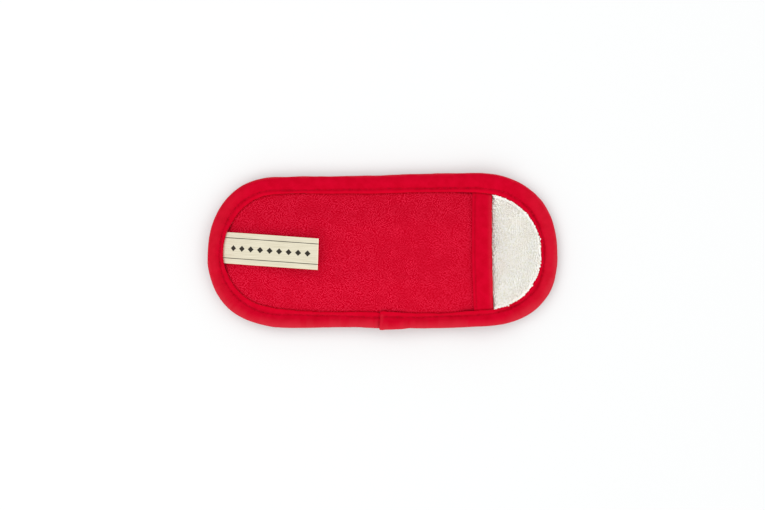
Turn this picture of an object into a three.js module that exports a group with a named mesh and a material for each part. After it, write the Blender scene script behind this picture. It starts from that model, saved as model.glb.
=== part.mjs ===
// A hot handle holder: a flat oval cloth sleeve, open near one end, that slips over a pan's hot handle.
// Sizes are in millimetres. It lies on its back on z = 0 and its pocket's mouth faces +X.
// Every layer is shaped by two things: how far a point lies inside the outline, and where it lies along X.

import * as THREE from 'three';

const { lerp, smoothstep, degToRad } = THREE.MathUtils;

// Outline
const LENGTH = 170;
const RIGHT_TIP_Y = -1.9;
const LEFT_TIP_Y = -2.4;
const QUARTERS = [
  { end: 1, side: -1, tipY: RIGHT_TIP_Y, reach: 39, spread: 35.1, squareness: 2.35 },
  { end: 1, side: 1, tipY: RIGHT_TIP_Y, reach: 40, spread: 39.9, squareness: 2.27 },
  { end: -1, side: 1, tipY: LEFT_TIP_Y, reach: 34.3, spread: 38.6, squareness: 2.16 },
  { end: -1, side: -1, tipY: LEFT_TIP_Y, reach: 35.3, spread: 34.7, squareness: 2.15 },
];

// Cloth thicknesses, and the room between neighbouring pieces
const GAP = 0.3;
const BINDING_CLOTH = 1;
const EDGE_LAYER = 1.4;
const LINING_MIDDLE = 2.2;
const FRONT_EDGE = 1.3;
const FRONT_MIDDLE = 1.6;
const FRONT_IN_BAND = 0.9;
const BAND_CLOTH = 0.6;
const LABEL_CLOTH = 0.4;

// Pocket
const MOUTH_X = 52.85;
const MOUTH_SLANT = -0.021;
const MOUTH_BOW = 0.00095;
const BAND_WIDTH = 9.7;
const BAND_APPROACH = 7;
const BAND_CLEAR = 2;
const CROWN = 5.3;
const CROWN_RUN = 17;

// Edge binding: its visible width is measured inwards from the outline, at distances run from its join
const JOIN_X = -1;
const BINDING_WIDTHS = [
  { along: 0, width: 8 },
  { along: 14, width: 7.6 },
  { along: 54, width: 7.9 },
  { along: 80, width: 8.7 },
  { along: 104, width: 7.8 },
  { along: 125, width: 9.1 },
  { along: 139, width: 9.9 },
  { along: 159, width: 9.9 },
  { along: 172, width: 9.1 },
  { along: 214, width: 9 },
  { along: 245, width: 8.1 },
  { along: 281, width: 9 },
  { along: 294, width: 9.1 },
  { along: 322, width: 7.5 },
  { along: 340, width: 9 },
  { along: 358, width: 9.6 },
  { along: 377, width: 9 },
  { along: 401, width: 7.6 },
  { along: 413, width: 7.1 },
  { along: 429, width: 8 },
];
const BINDING_CLIMB = {
  climbFrom: -BAND_WIDTH - 9,
  climbTo: -BAND_WIDTH - 4,
  fallFrom: 4,
  fallTo: 12,
  rootFrom: 3,
  rootTo: 9,
};
const STITCH_INSET = 2.1;
const ROLL = 0.5;
const BINDING_SHAPE = {
  lipRound: 0.5,
  lipDrop: 0.2,
  valleyHalf: 0.7,
  valleyShare: 0.4,
  rollFrom: 2.3,
  shoulder: 2.6,
  brow: 1.1,
  corner: 0.3,
};
const LAP_CLOTH = 0.6;
const LAP_LENGTH = 8;
const LAP_FADE = 16;
const PANEL_INSET = 2.8;
const BAND_TUCK = 5.4;

// Slopes of the layers, as distances past the binding's lip or past the pocket's mouth
const SLOPE_START = 0.6;
const BACK_SLOPE_END = 5;
const LINING_SLOPE_END = { inPocket: 9, open: 2.6 };
const LINING_OPENS = { from: -2, to: 4 };
const LAP_SLOPE_END = 13;
const LAP_MARGIN = 4;

// Mesh spacing of the panels
const ROWS_PAST_LIP = [0.6, 2.8, 5.6, 9, 13, 17];
const STATION_SPACING = 5.5;
const RIM_TIP = 0.15;
const TIP_CLEAR = 0.6;

// Label: a tape folded in two, its root caught under the binding at the closed end
const LABEL = {
  foldX: -30.75,
  foldY: -1.6,
  length: 49.8,
  width: 15.6,
  turn: degToRad(-3.9),
  lift: 1.5,
  liftFrom: 28,
  loop: 0.4,
  loopRun: 8,
  foldRun: 1.5,
  rootRun: 3.5,
  columnRun: 3,
};

const COLOURS = { red: 0xd5082a, woven: 0xd2122f, terry: 0xebe7dc, tape: 0xddd8be };

// Levels of the layers where the binding squeezes them together
const LAP_LIFT = LAP_CLOTH + GAP;
const BACK_EDGE_BOTTOM = BINDING_CLOTH + GAP;
const BACK_TOP = BACK_EDGE_BOTTOM + EDGE_LAYER;
const LINING_BOTTOM = BACK_TOP + GAP;
const LINING_EDGE_TOP = LINING_BOTTOM + EDGE_LAYER;
const FRONT_EDGE_BOTTOM = LINING_EDGE_TOP + GAP;
const FRONT_EDGE_TOP = FRONT_EDGE_BOTTOM + FRONT_EDGE;
const BAND_RIDGE = 0.1;
const BAND_FOLD = { from: 0.9, shoulder: 0.2, share: 0.6 };
const BAND_LIFT = BAND_CLOTH + GAP;
const BAND_EDGE_TOP = FRONT_EDGE_BOTTOM + BAND_LIFT + FRONT_IN_BAND + GAP + BAND_CLOTH + BAND_RIDGE;
const LABEL_EASE = 0.2;
const LABEL_STACK = GAP + 2 * LABEL_CLOTH + GAP;
const MOUTH_EDGE = BAND_CLOTH + GAP;

// One quarter of the outline: part of a superellipse that runs anticlockwise to or from the end's tip.
function quarterPoints({ end, side, tipY, reach, spread, squareness }) {
  const steps = 240;
  const power = 2 / squareness;
  const points = [];
  for (let i = 0; i <= steps; i += 1) {
    const share = (i / steps) * (Math.PI / 2);
    const turn = end * side < 0 ? share : Math.PI / 2 - share;
    const x = end * (LENGTH / 2 - reach + reach * Math.sin(turn) ** power);
    const y = tipY + side * spread * Math.max(Math.cos(turn), 0) ** power;
    points.push(new THREE.Vector2(x, y));
  }
  return points;
}

// The closed outline as points 1 mm apart or so, anticlockwise from the binding's join, each with the
// distance run so far and the direction that points inwards.
function traceOutline() {
  const bottomY = RIGHT_TIP_Y - QUARTERS[0].spread;
  const start = new THREE.Vector2(JOIN_X, bottomY);
  const corners = [start, ...QUARTERS.flatMap(quarterPoints), start.clone()];
  const runs = [0];
  for (let i = 1; i < corners.length; i += 1) {
    runs.push(runs[i - 1] + corners[i].distanceTo(corners[i - 1]));
  }
  const length = runs[runs.length - 1];
  const count = Math.round(length);
  const points = [];
  let k = 1;
  for (let i = 0; i < count; i += 1) {
    const along = (length * i) / count;
    while (runs[k] < along) k += 1;
    const share = (along - runs[k - 1]) / (runs[k] - runs[k - 1]);
    const spot = corners[k - 1].clone().lerp(corners[k], share);
    points.push({ x: spot.x, y: spot.y, along });
  }
  const reach = 3;
  points.forEach((point, i) => {
    const before = points[(i - reach + count) % count];
    const after = points[(i + reach) % count];
    const run = Math.hypot(after.x - before.x, after.y - before.y);
    point.inX = -(after.y - before.y) / run;
    point.inY = (after.x - before.x) / run;
  });
  return { points, length, step: length / count };
}

const OUTLINE = traceOutline();

// The outline's point and inward direction at a distance run from the join.
function outlineAt(along) {
  const { points, step } = OUTLINE;
  const whole = Math.floor(along / step);
  const share = along / step - whole;
  const a = points[whole % points.length];
  const b = points[(whole + 1) % points.length];
  return {
    x: lerp(a.x, b.x, share),
    y: lerp(a.y, b.y, share),
    inX: lerp(a.inX, b.inX, share),
    inY: lerp(a.inY, b.inY, share),
  };
}

function bindingWidth(along) {
  const run = along % OUTLINE.length;
  const next = Math.max(1, BINDING_WIDTHS.findIndex((row) => row.along >= run));
  const a = BINDING_WIDTHS[next - 1];
  const b = BINDING_WIDTHS[next];
  return lerp(a.width, b.width, smoothstep(run, a.along, b.along));
}

function mouthX(y) {
  return MOUTH_X + MOUTH_SLANT * y + MOUTH_BOW * y * y;
}

// The layers rise over the inner end of the binding where its two ends lap.
function lapRise(x) {
  const from = JOIN_X - LAP_MARGIN;
  const to = JOIN_X + LAP_LENGTH + LAP_MARGIN;
  const on = smoothstep(x, from - LAP_FADE, from);
  const off = 1 - smoothstep(x, to, to + LAP_FADE);
  return LAP_LIFT * on * off;
}

// Where a point of a layer lies: how far inside the binding's lip, and how much the lap lifts it.
function placeOf(x, y) {
  let nearest = OUTLINE.points[0];
  let best = Infinity;
  for (const point of OUTLINE.points) {
    const distance = Math.hypot(x - point.x, y - point.y);
    if (distance < best) {
      best = distance;
      nearest = point;
    }
  }
  const depth = (x - nearest.x) * nearest.inX + (y - nearest.y) * nearest.inY;
  const pastLip = depth - bindingWidth(nearest.along);
  const lift = y < 0 ? lapRise(x) * (1 - smoothstep(pastLip, SLOPE_START, LAP_SLOPE_END)) : 0;
  return { x, y, pastLip, lift, pastMouth: x - mouthX(y) };
}

// Heights of the layers' faces at a place.
function backBottom({ pastLip, lift }) {
  return BACK_EDGE_BOTTOM * (1 - smoothstep(pastLip, SLOPE_START, BACK_SLOPE_END)) + lift;
}

function backTop({ lift }) {
  return BACK_TOP + lift;
}

function liningBottom({ lift }) {
  return LINING_BOTTOM + lift;
}

function liningTop({ pastLip, lift, pastMouth }) {
  const opens = smoothstep(pastMouth, LINING_OPENS.from, LINING_OPENS.to);
  const slopeEnd = lerp(LINING_SLOPE_END.inPocket, LINING_SLOPE_END.open, opens);
  return LINING_EDGE_TOP + (LINING_MIDDLE - EDGE_LAYER) * smoothstep(pastLip, SLOPE_START, slopeEnd) + lift;
}

// How far the mouth band's fold lifts and presses the front panel, from 0 at a distance to 1 in the fold.
function bandShare({ pastMouth }) {
  return smoothstep(pastMouth, -BAND_WIDTH - BAND_APPROACH, -BAND_WIDTH - BAND_CLEAR);
}

function frontBottom({ pastLip, lift, pastMouth }) {
  const crown = CROWN * smoothstep(pastLip, 0, CROWN_RUN);
  return FRONT_EDGE_BOTTOM + BAND_LIFT * bandShare({ pastMouth }) + crown + lift;
}

function frontTop(place) {
  const free = lerp(FRONT_EDGE, FRONT_MIDDLE, smoothstep(place.pastLip, 0, CROWN_RUN));
  const cloth = lerp(free, FRONT_IN_BAND, bandShare(place));
  return frontBottom(place) + cloth;
}

// The highest layer that the binding holds, at a point of the outline. The binding rises to the band
// before it, falls to the lining past the mouth, and rises over the label's root.
function heldTop(x, y) {
  const { climbFrom, climbTo, fallFrom, fallTo, rootFrom, rootTo } = BINDING_CLIMB;
  const pastMouth = x - mouthX(y);
  const banded = lerp(FRONT_EDGE_TOP, BAND_EDGE_TOP, smoothstep(pastMouth, climbFrom, climbTo));
  const open = lerp(banded, LINING_EDGE_TOP, smoothstep(pastMouth, fallFrom, fallTo));
  const rootY = LABEL.foldY - Math.sin(LABEL.turn) * LABEL.length;
  const fromRoot = Math.abs(y - rootY) - LABEL.width / 2;
  const labelled = x < 0 ? LABEL_STACK * (1 - smoothstep(fromRoot, rootFrom, rootTo)) : 0;
  return open + labelled + (y < 0 ? lapRise(x) : 0);
}

// A closed mesh through rings of points. Each ring has the same number of points, and the two end rings,
// given once more as flat shapes, are filled in.
function loft(rings, firstFlat, lastFlat) {
  const size = rings[0].length;
  const corners = rings.flat();
  const faces = [];
  for (let i = 0; i + 1 < rings.length; i += 1) {
    for (let j = 0; j < size; j += 1) {
      const a = i * size + j;
      const b = i * size + ((j + 1) % size);
      faces.push([a, b, b + size], [a, b + size, a + size]);
    }
  }
  const last = (rings.length - 1) * size;
  const clockwise = THREE.ShapeUtils.isClockWise(firstFlat);
  const fill = (flat) => THREE.ShapeUtils.triangulateShape(flat, []);
  for (const [a, b, c] of fill(firstFlat)) faces.push(clockwise ? [a, b, c] : [c, b, a]);
  for (const [a, b, c] of fill(lastFlat)) {
    faces.push(clockwise ? [last + c, last + b, last + a] : [last + a, last + b, last + c]);
  }
  let volume = 0;
  for (const [a, b, c] of faces) {
    volume += corners[a].dot(corners[b].clone().cross(corners[c]));
  }
  const outward = volume > 0 ? faces : faces.map(([a, b, c]) => [a, c, b]);
  const geometry = new THREE.BufferGeometry().setFromPoints(corners);
  geometry.setIndex(outward.flat());
  geometry.computeVertexNormals();
  return geometry;
}

function piece(name, geometry, color, roughness) {
  const mesh = new THREE.Mesh(geometry, new THREE.MeshStandardMaterial({ color, roughness, metalness: 0 }));
  mesh.name = name;
  return mesh;
}

// The outline drawn in by an inset that may change along it: its two tips, and its two sides as y at x.
function drawnIn(insetAt) {
  const drawn = OUTLINE.points.map((p) => {
    const inset = insetAt(p.along);
    return { x: p.x + p.inX * inset, y: p.y + p.inY * inset };
  });
  const right = drawn.reduce((a, b) => (b.x > a.x ? b : a));
  const left = drawn.reduce((a, b) => (b.x < a.x ? b : a));
  const along = (point) => lerp(left.y, right.y, (point.x - left.x) / (right.x - left.x));
  const above = drawn.filter((p) => p.y > along(p)).sort((a, b) => a.x - b.x);
  const below = drawn.filter((p) => p.y <= along(p)).sort((a, b) => a.x - b.x);
  const at = (side, x) => {
    const next = Math.min(Math.max(1, side.findIndex((p) => p.x >= x)), side.length - 1);
    const a = side[next - 1];
    const b = side[next];
    return lerp(a.y, b.y, (x - a.x) / (b.x - a.x));
  };
  return { left: left.x, right: right.x, low: (x) => at(below, x), high: (x) => at(above, x) };
}

// The curves that a panel's rows follow: its rim, one just under the binding's lip, and one for each
// distance past the lip, so that the slopes begin and end on a row all the way round.
const ROW_CURVES = [
  drawnIn(() => PANEL_INSET),
  drawnIn((along) => bindingWidth(along) - 1.5),
  ...ROWS_PAST_LIP.map((past) => drawnIn((along) => bindingWidth(along) + past)),
];

// The rows' places across a panel at x. Where x lies past a curve's tip, the rows left over share the
// room inside the last curve evenly.
function rowsAcross(x) {
  const inside = ROW_CURVES.filter(({ left, right }, i) => i === 0 || (x > left + 0.5 && x < right - 0.5));
  const lows = inside.map((curve) => curve.low(x));
  const highs = inside.map((curve) => curve.high(x)).reverse();
  const spare = 2 * (ROW_CURVES.length - inside.length);
  const low = lows[lows.length - 1];
  const fill = Array.from({ length: spare }, (_, i) => lerp(low, highs[0], (i + 1) / (spare + 1)));
  return [...lows, ...fill, ...highs];
}

// Places along X for a panel's sections: one just inside each row curve's tips, and an even run between.
const LEFT_STATIONS = ROW_CURVES.map(({ left }, i) => left + (i === 0 ? RIM_TIP : TIP_CLEAR));
const RIGHT_STATIONS = ROW_CURVES.map(({ right }, i) => right - (i === 0 ? RIM_TIP : TIP_CLEAR)).reverse();

function evenRun(from, to, spacing) {
  const count = Math.ceil((to - from) / spacing);
  return Array.from({ length: count - 1 }, (_, i) => lerp(from, to, (i + 1) / count));
}

// A cloth panel: a slab of sections across Y whose two faces have their own heights on the same rows.
function panel({ stations, shiftAt, lower, upper }) {
  const rings = stations.map((x) => {
    const places = rowsAcross(x).map((y) => placeOf(x + shiftAt(x, y), y));
    const bottom = places.map((place) => new THREE.Vector3(place.x, place.y, lower(place)));
    const top = places.map((place) => new THREE.Vector3(place.x, place.y, upper(place)));
    return [...bottom, ...top.reverse()];
  });
  const flat = (ring) => ring.map((point) => new THREE.Vector2(point.y, point.z));
  return loft(rings, flat(rings[0]), flat(rings[rings.length - 1]));
}

function ovalPanel(lower, upper) {
  const from = LEFT_STATIONS[LEFT_STATIONS.length - 1];
  const between = evenRun(from, RIGHT_STATIONS[0], STATION_SPACING);
  const stations = [...LEFT_STATIONS, ...between, ...RIGHT_STATIONS];
  return panel({ stations, shiftAt: () => 0, lower, upper });
}

function backPanel() {
  return piece('back_panel', ovalPanel(backBottom, backTop), COLOURS.woven, 0.9);
}

function lining() {
  return piece('lining', ovalPanel(liningBottom, liningTop), COLOURS.terry, 1);
}

// The front panel has sections of its own under the band, where the band's fold presses it.
function frontPanel() {
  const from = LEFT_STATIONS[LEFT_STATIONS.length - 1];
  const bandStart = MOUTH_X - BAND_WIDTH - BAND_APPROACH;
  const banded = [BAND_WIDTH + 2, BAND_WIDTH - 0.6, BAND_WIDTH / 2, MOUTH_EDGE].map((back) => MOUTH_X - back);
  const stations = [...LEFT_STATIONS, ...evenRun(from, bandStart, STATION_SPACING), bandStart, ...banded];
  const shiftAt = (x, y) => (x > bandStart ? mouthX(y) - MOUTH_X : 0);
  const geometry = panel({ stations, shiftAt, lower: frontBottom, upper: frontTop });
  return piece('front_panel', geometry, COLOURS.woven, 0.9);
}

// The mouth band's upper face, from its turned-under edge, with a low ridge each side of its stitches,
// to its fold.
const BAND_FACE = [
  { back: BAND_WIDTH, rise: 0 },
  { back: BAND_WIDTH - 0.6, rise: BAND_RIDGE },
  { back: BAND_WIDTH - 1.4, rise: -BAND_RIDGE },
  { back: BAND_WIDTH - 2.4, rise: BAND_RIDGE },
  { back: BAND_WIDTH / 2, rise: BAND_RIDGE / 2 },
  { back: BAND_FOLD.from, rise: 0 },
];

// The mouth band's section at one place across: a strip folded over the front panel's mouth edge.
function bandSection(y) {
  const mouth = mouthX(y);
  const panelEdge = mouth - MOUTH_EDGE;
  const heights = (back) => {
    const place = placeOf(Math.min(mouth - back, panelEdge), y);
    return { bottom: frontBottom(place) - GAP, top: frontTop(place) + GAP };
  };
  const fold = heights(0);
  const middle = (fold.bottom + fold.top) / 2;
  const at = (back, z) => new THREE.Vector3(mouth - back, y, z);
  const under = [BAND_FOLD.from, BAND_WIDTH / 2, BAND_WIDTH];
  return [
    ...BAND_FACE.map(({ back, rise }) => at(back, heights(back).top + BAND_CLOTH + rise)),
    at(BAND_FOLD.shoulder, lerp(middle, fold.top + BAND_CLOTH, BAND_FOLD.share)),
    at(0, middle),
    at(BAND_FOLD.shoulder, lerp(middle, fold.bottom - BAND_CLOTH, BAND_FOLD.share)),
    ...under.map((back) => at(back, heights(back).bottom - BAND_CLOTH)),
    ...[BAND_WIDTH, BAND_WIDTH / 2, BAND_CLOTH].map((back) => at(back, heights(back).bottom)),
    ...[BAND_CLOTH, BAND_WIDTH / 2, BAND_WIDTH].map((back) => at(back, heights(back).top)),
  ];
}

function mouthBand() {
  const middle = MOUTH_X - BAND_WIDTH / 2;
  const { low, high } = drawnIn(() => BAND_TUCK);
  const [from, to] = [low(middle), high(middle)];
  const inner = rowsAcross(middle).filter((y) => y > from + 1 && y < to - 1);
  const rings = [from, ...inner, to].map(bandSection);
  const flat = (ring) => ring.map((point) => new THREE.Vector2(point.x, point.z));
  const geometry = loft(rings, flat(rings[0]), flat(rings[rings.length - 1]));
  return piece('mouth_band', geometry, COLOURS.red, 0.85);
}

// The binding's section, as depth inside the outline and height: cloth that runs from the upper lip, over
// a stitched valley and a soft roll, round the edge and back along the flat underside.
function bindingSection({ outer, width, floor, under, cloth, roll }) {
  const { lipRound, lipDrop, valleyHalf, valleyShare, rollFrom, shoulder, brow, corner } = BINDING_SHAPE;
  const top = under + cloth;
  const middle = (floor + top) / 2;
  const wall = outer + cloth;
  const stitch = width - STITCH_INSET;
  const valley = cloth * valleyShare;
  return [
    [width, under],
    [width, top - lipDrop],
    [width - lipRound, top],
    [stitch + valleyHalf, top],
    [stitch, top - valley],
    [stitch - valleyHalf, top + roll * 0.3],
    [stitch - rollFrom, top + roll],
    [outer + shoulder, top + roll * 0.8],
    [outer + brow, top - 0.4],
    [outer + corner, top - 1.5],
    [outer, middle],
    [outer + corner, floor + 1.3],
    [outer + brow, floor + 0.35],
    [outer + 2 * brow, floor],
    [stitch - valleyHalf, floor],
    [stitch, floor + valley * 0.6],
    [stitch + valleyHalf, floor],
    [width, floor],
    [width, floor + cloth],
    [wall + 1.6, floor + cloth],
    [wall + 0.4, floor + cloth + 0.9],
    [wall, middle],
    [wall + 0.4, under - 0.9],
    [wall + 1.6, under],
  ].map(([depth, height]) => new THREE.Vector2(depth, height));
}

// One long strip round the whole outline. Its outer end starts at the join, standing proud by the cloth
// that it covers, and its inner end comes round and runs on under it.
function edgeBinding() {
  const { length } = OUTLINE;
  const end = length + LAP_LENGTH;
  const stations = [];
  const nearLap = (along) => along < LAP_LENGTH + 18 || along > length - 18;
  for (let along = 0; along < end; along += nearLap(along) ? 2 : 4.5) stations.push(along);
  stations.push(end);
  const sections = stations.map((along) => {
    const { x, y } = outlineAt(along);
    const covering = 1 - smoothstep(along, LAP_LENGTH + 3, LAP_LENGTH + 12);
    const covered = smoothstep(along, length - LAP_FADE, length - LAP_MARGIN);
    return bindingSection({
      outer: -LAP_LIFT * covering,
      width: bindingWidth(along) - covered * 0.4,
      floor: along > length / 2 ? lapRise(x) * covered : 0,
      under: heldTop(x, y) + GAP + LAP_LIFT * covering,
      cloth: lerp(BINDING_CLOTH, LAP_CLOTH, Math.max(covering, covered)),
      roll: ROLL * (1 - covered),
    });
  });
  const rings = sections.map((section, i) => {
    const { x, y, inX, inY } = outlineAt(stations[i]);
    return section.map(({ x: depth, y: z }) => new THREE.Vector3(x + inX * depth, y + inY * depth, z));
  });
  const geometry = loft(rings, sections[0], sections[sections.length - 1]);
  return piece('edge_binding', geometry, COLOURS.red, 0.85);
}

// The label's section along its length: two layers of tape with a loop at the fold. Each point has its
// distance from the root and its height over the front panel.
function labelSection() {
  const { length, lift, liftFrom, loop, loopRun, foldRun, rootRun, columnRun } = LABEL;
  const eased = (run) => GAP + LABEL_EASE * smoothstep(run, rootRun, rootRun + 6);
  const raised = (run) => eased(run) + lift * smoothstep(run, liftFrom, length);
  const opened = (run) => GAP + loop * smoothstep(run, length - loopRun, length);
  const lastRun = length - foldRun;
  const runs = [0, ...evenRun(0, lastRun, columnRun), lastRun];
  const tight = opened(lastRun) / 2;
  const centre = raised(lastRun) + LABEL_CLOTH + tight;
  const arc = (radius, turns) => turns.map((turn) => ({
    run: lastRun + radius * Math.cos(turn),
    over: centre + radius * Math.sin(turn),
  }));
  const sixth = Math.PI / 6;
  const wide = [-2 * sixth, -sixth, 0, sixth, 2 * sixth];
  const low = (run) => ({ run, over: raised(run) });
  const lowInside = (run) => ({ run, over: raised(run) + LABEL_CLOTH });
  const highInside = (run) => ({ run, over: raised(run) + LABEL_CLOTH + opened(run) });
  const high = (run) => ({ run, over: raised(run) + 2 * LABEL_CLOTH + opened(run) });
  const back = [...runs].reverse();
  return [
    ...runs.map(low),
    ...arc(tight + LABEL_CLOTH, wide),
    ...back.map(high),
    ...runs.map(highInside),
    ...arc(tight, [sixth, 0, -sixth]),
    ...back.map(lowInside),
  ];
}

function label() {
  const { foldX, foldY, length, width, turn } = LABEL;
  const section = labelSection();
  const columns = 5;
  const rings = [];
  for (let i = 0; i < columns; i += 1) {
    const across = width * (i / (columns - 1) - 0.5);
    rings.push(section.map(({ run, over }) => {
      const back = length - run;
      const x = foldX - back * Math.cos(turn) - across * Math.sin(turn);
      const y = foldY - back * Math.sin(turn) + across * Math.cos(turn);
      return new THREE.Vector3(x, y, frontTop(placeOf(x, y)) + over);
    }));
  }
  const flat = (ring) => ring.map((point, i) => new THREE.Vector2(section[i].run, point.z));
  return piece('label', loft(rings, flat(rings[0]), flat(rings[columns - 1])), COLOURS.tape, 0.8);
}

const holder = new THREE.Group();
holder.add(backPanel(), lining(), frontPanel(), mouthBand(), edgeBinding(), label());

export default holder;
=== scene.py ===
"""A red cloth handle holder, lying on its back, seen from straight above.

Every layer is a surface of two things: how far a point lies inside the outline, past the edge binding's
lip, and where it lies along X, before or past the pocket's mouth. Sizes are in metres. A pair of values
is the start and end of a soft step, or the least and the most of a random draw.
"""

import math

import bpy
import numpy as np
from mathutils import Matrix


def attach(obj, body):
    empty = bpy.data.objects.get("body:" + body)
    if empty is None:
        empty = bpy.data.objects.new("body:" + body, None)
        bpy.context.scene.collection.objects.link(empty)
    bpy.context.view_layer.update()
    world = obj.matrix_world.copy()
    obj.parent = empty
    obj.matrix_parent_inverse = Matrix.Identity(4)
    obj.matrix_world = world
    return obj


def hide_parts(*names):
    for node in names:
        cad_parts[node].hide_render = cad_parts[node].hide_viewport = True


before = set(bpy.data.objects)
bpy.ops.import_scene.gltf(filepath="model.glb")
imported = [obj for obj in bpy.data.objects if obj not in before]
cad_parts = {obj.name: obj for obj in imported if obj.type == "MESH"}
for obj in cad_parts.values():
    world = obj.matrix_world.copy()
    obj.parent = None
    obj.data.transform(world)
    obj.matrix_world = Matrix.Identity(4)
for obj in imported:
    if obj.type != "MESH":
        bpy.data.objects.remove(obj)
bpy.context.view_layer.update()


def linear(red, green, blue):
    """Linear light of a colour given as 0 to 255."""
    parts = [v / 255 for v in (red, green, blue)]
    return (*((v / 12.92 if v < 0.04045 else ((v + 0.055) / 1.055) ** 2.4) for v in parts), 1)


# Outline: four quarters of rounded ends, joined by nearly straight sides
LENGTH = 0.170
RIGHT_TIP_Y = -0.0019
LEFT_TIP_Y = -0.0024
QUARTERS = (  # end, side, tip's y, reach, spread, squareness
    (1, -1, RIGHT_TIP_Y, 0.0390, 0.0351, 2.35),
    (1, 1, RIGHT_TIP_Y, 0.0400, 0.0399, 2.27),
    (-1, 1, LEFT_TIP_Y, 0.0343, 0.0386, 2.16),
    (-1, -1, LEFT_TIP_Y, 0.0353, 0.0347, 2.15),
)
QUARTER_SAMPLES = 400
JOIN_X = -0.0010
OUTLINE_STEP = 0.00025
NORMAL_REACH = 0.0030
COARSE_STEP = 12
POINTS_AT_ONCE = 8000

# Cloths and the room between them
GAP = 0.0003
BINDING_CLOTH = 0.0010
EDGE_LAYER = 0.0014
LINING_MIDDLE = 0.0022
FRONT_EDGE = 0.0013
FRONT_MIDDLE = 0.0016
FRONT_IN_BAND = 0.0009
BAND_CLOTH = 0.0006
LABEL_CLOTH = 0.0004
LAP_CLOTH = 0.0006

# Layers cut to the outline
PANEL_INSET = 0.0028
PANEL_HALF = 0.0348
TIP_INSET = 0.0004
TIP_CROWDING = 0.3
BACK_SPACING = 0.0008
BACK_RUMPLE = 0.00006
BACK_RUMPLED = (0.001, 0.012)
LINING_SPACING = 0.0010
LINING_SUNK = 0.0001
FRONT_SPACING = 0.00055
FRONT_FREE = (0.0005, 0.006)
FRONT_WAVES = 0.00005
FRONT_SLUBS = 0.000012

# Pocket and the band at its mouth
MOUTH_X = 0.05285
MOUTH_SLANT = -0.012
MOUTH_BOW = 0.95
MOUTH_FOLLOWED = (MOUTH_X - 0.03, MOUTH_X - 0.012)
MOUTH_SAG = 0.20
MOUTH_SAG_RUN = (-0.040, -0.004)
CROWN = 0.0053
CROWN_RUN = 0.0170
BAND_WIDTH = 0.0097
BAND_APPROACH = 0.0070
BAND_CLEAR = 0.0020
BAND_TUCK = 0.0054
BAND_RIDGE = 0.0001
BAND_STATIONS = 150
BAND_SAMPLES = 54
BAND_UPPER_SHARE = 0.6
BAND_STITCH = 0.0084
BAND_STITCH_PITCH = 0.0024
BAND_STITCH_MARGIN = 0.0025
BAND_STITCH_LENGTH = 0.0019
BAND_STITCH_RADIUS = 0.00016
BAND_STITCH_SAG = 0.00016
BAND_STITCH_SUNK = 0.00012
BAND_SLOPE_STEP = 0.0004
BAND_PUCKER = 0.00008
BAND_PUCKER_WIDTH = 0.0007
BAND_PUCKER_MIDDLE = 0.6
BAND_FOLD_WIDTH = 0.0020
BAND_FLAT_FROM = 0.0010
# Painted highlight along the band's fold
BAND_FOLD_HIGHLIGHT = 0.35
BAND_FOLD_HIGHLIGHT_AT = 0.0009
BAND_FOLD_HIGHLIGHT_WIDTH = 0.0010

# Edge binding, in millimetres against the run from its join, anticlockwise: how far its wall swells out
# past the even outline, its visible width, and how wide its stitched-down lip is
EDGE_TABLE = np.array(
    [
        (0, 0.12, 7.9, 2.4),
        (8, 0.25, 7.7, 2.5),
        (18, 0.45, 7.0, 2.0),
        (32, 0.15, 7.1, 1.4),
        (40, -0.16, 7.9, 2.0),
        (48, -0.5, 8.5, 2.2),
        (57, -0.58, 8.75, 1.75),
        (72, -0.38, 9.3, 1.9),
        (88, 0.03, 9.5, 2.6),
        (104, 0.05, 8.1, 1.8),
        (116, 0.1, 8.2, 1.7),
        (128, 0.3, 9.1, 2.0),
        (144, 0.24, 9.9, 2.7),
        (160, 0.15, 9.9, 2.4),
        (176, 0.22, 9.2, 2.1),
        (190, 0.35, 8.9, 1.8),
        (206, 0.12, 8.8, 2.0),
        (217, -0.14, 9.2, 2.4),
        (232, -0.13, 8.7, 1.9),
        (246, -0.05, 8.5, 1.9),
        (258, 0.15, 8.2, 1.3),
        (272, -0.03, 8.6, 2.1),
        (288, 0.28, 8.9, 2.5),
        (302, 0.15, 9.0, 2.7),
        (314, -0.1, 8.0, 1.8),
        (326, 0.0, 7.8, 1.7),
        (338, -0.05, 9.0, 2.6),
        (352, -0.13, 9.9, 2.7),
        (362, -0.4, 9.9, 2.8),
        (371, -0.8, 10.1, 3.2),
        (379, -0.15, 9.5, 2.9),
        (388, 0.13, 8.6, 2.1),
        (401, 0.0, 7.6, 1.7),
        (412, -0.2, 7.7, 1.9),
        (421, -0.1, 8.1, 2.6),
    ]
)
MILLIMETRE = 0.001
TABLE_STEP = 0.001
TABLE_REACH = 0.0035
TABLE_SPAN = 8
BINDING_STEP = 0.00048
BINDING_SAMPLES = 58
BINDING_INNER_SAMPLES = 16
ROLL = 0.0005
GROOVE_CLOSED = 0.00050
GROOVE_OPEN = 0.00110
GROOVE_OPENS = (0.000, 0.008)
LIP_CREST = 0.38
LIP_RISE = 0.00022
LIP_DROP = 0.0004
WALL_SHARE = 0.52
WALL_LOW = 0.0022
WALL_ROUNDNESS = 0.85
WALL_DEGREES = (90, 68, 46, 23, 0, -23, -46, -68, -90)
UPPER_FACE = (0.0016, 0.0032)

# Where the binding's upper half climbs over the band and falls past it, along X from the mouth, and how
# far from the label's root it is down again
CLIMB = (-0.0187, -0.0137)
FALL = (0.0040, 0.0120)
ROOT_FADE = (0.0030, 0.0090)

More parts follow.
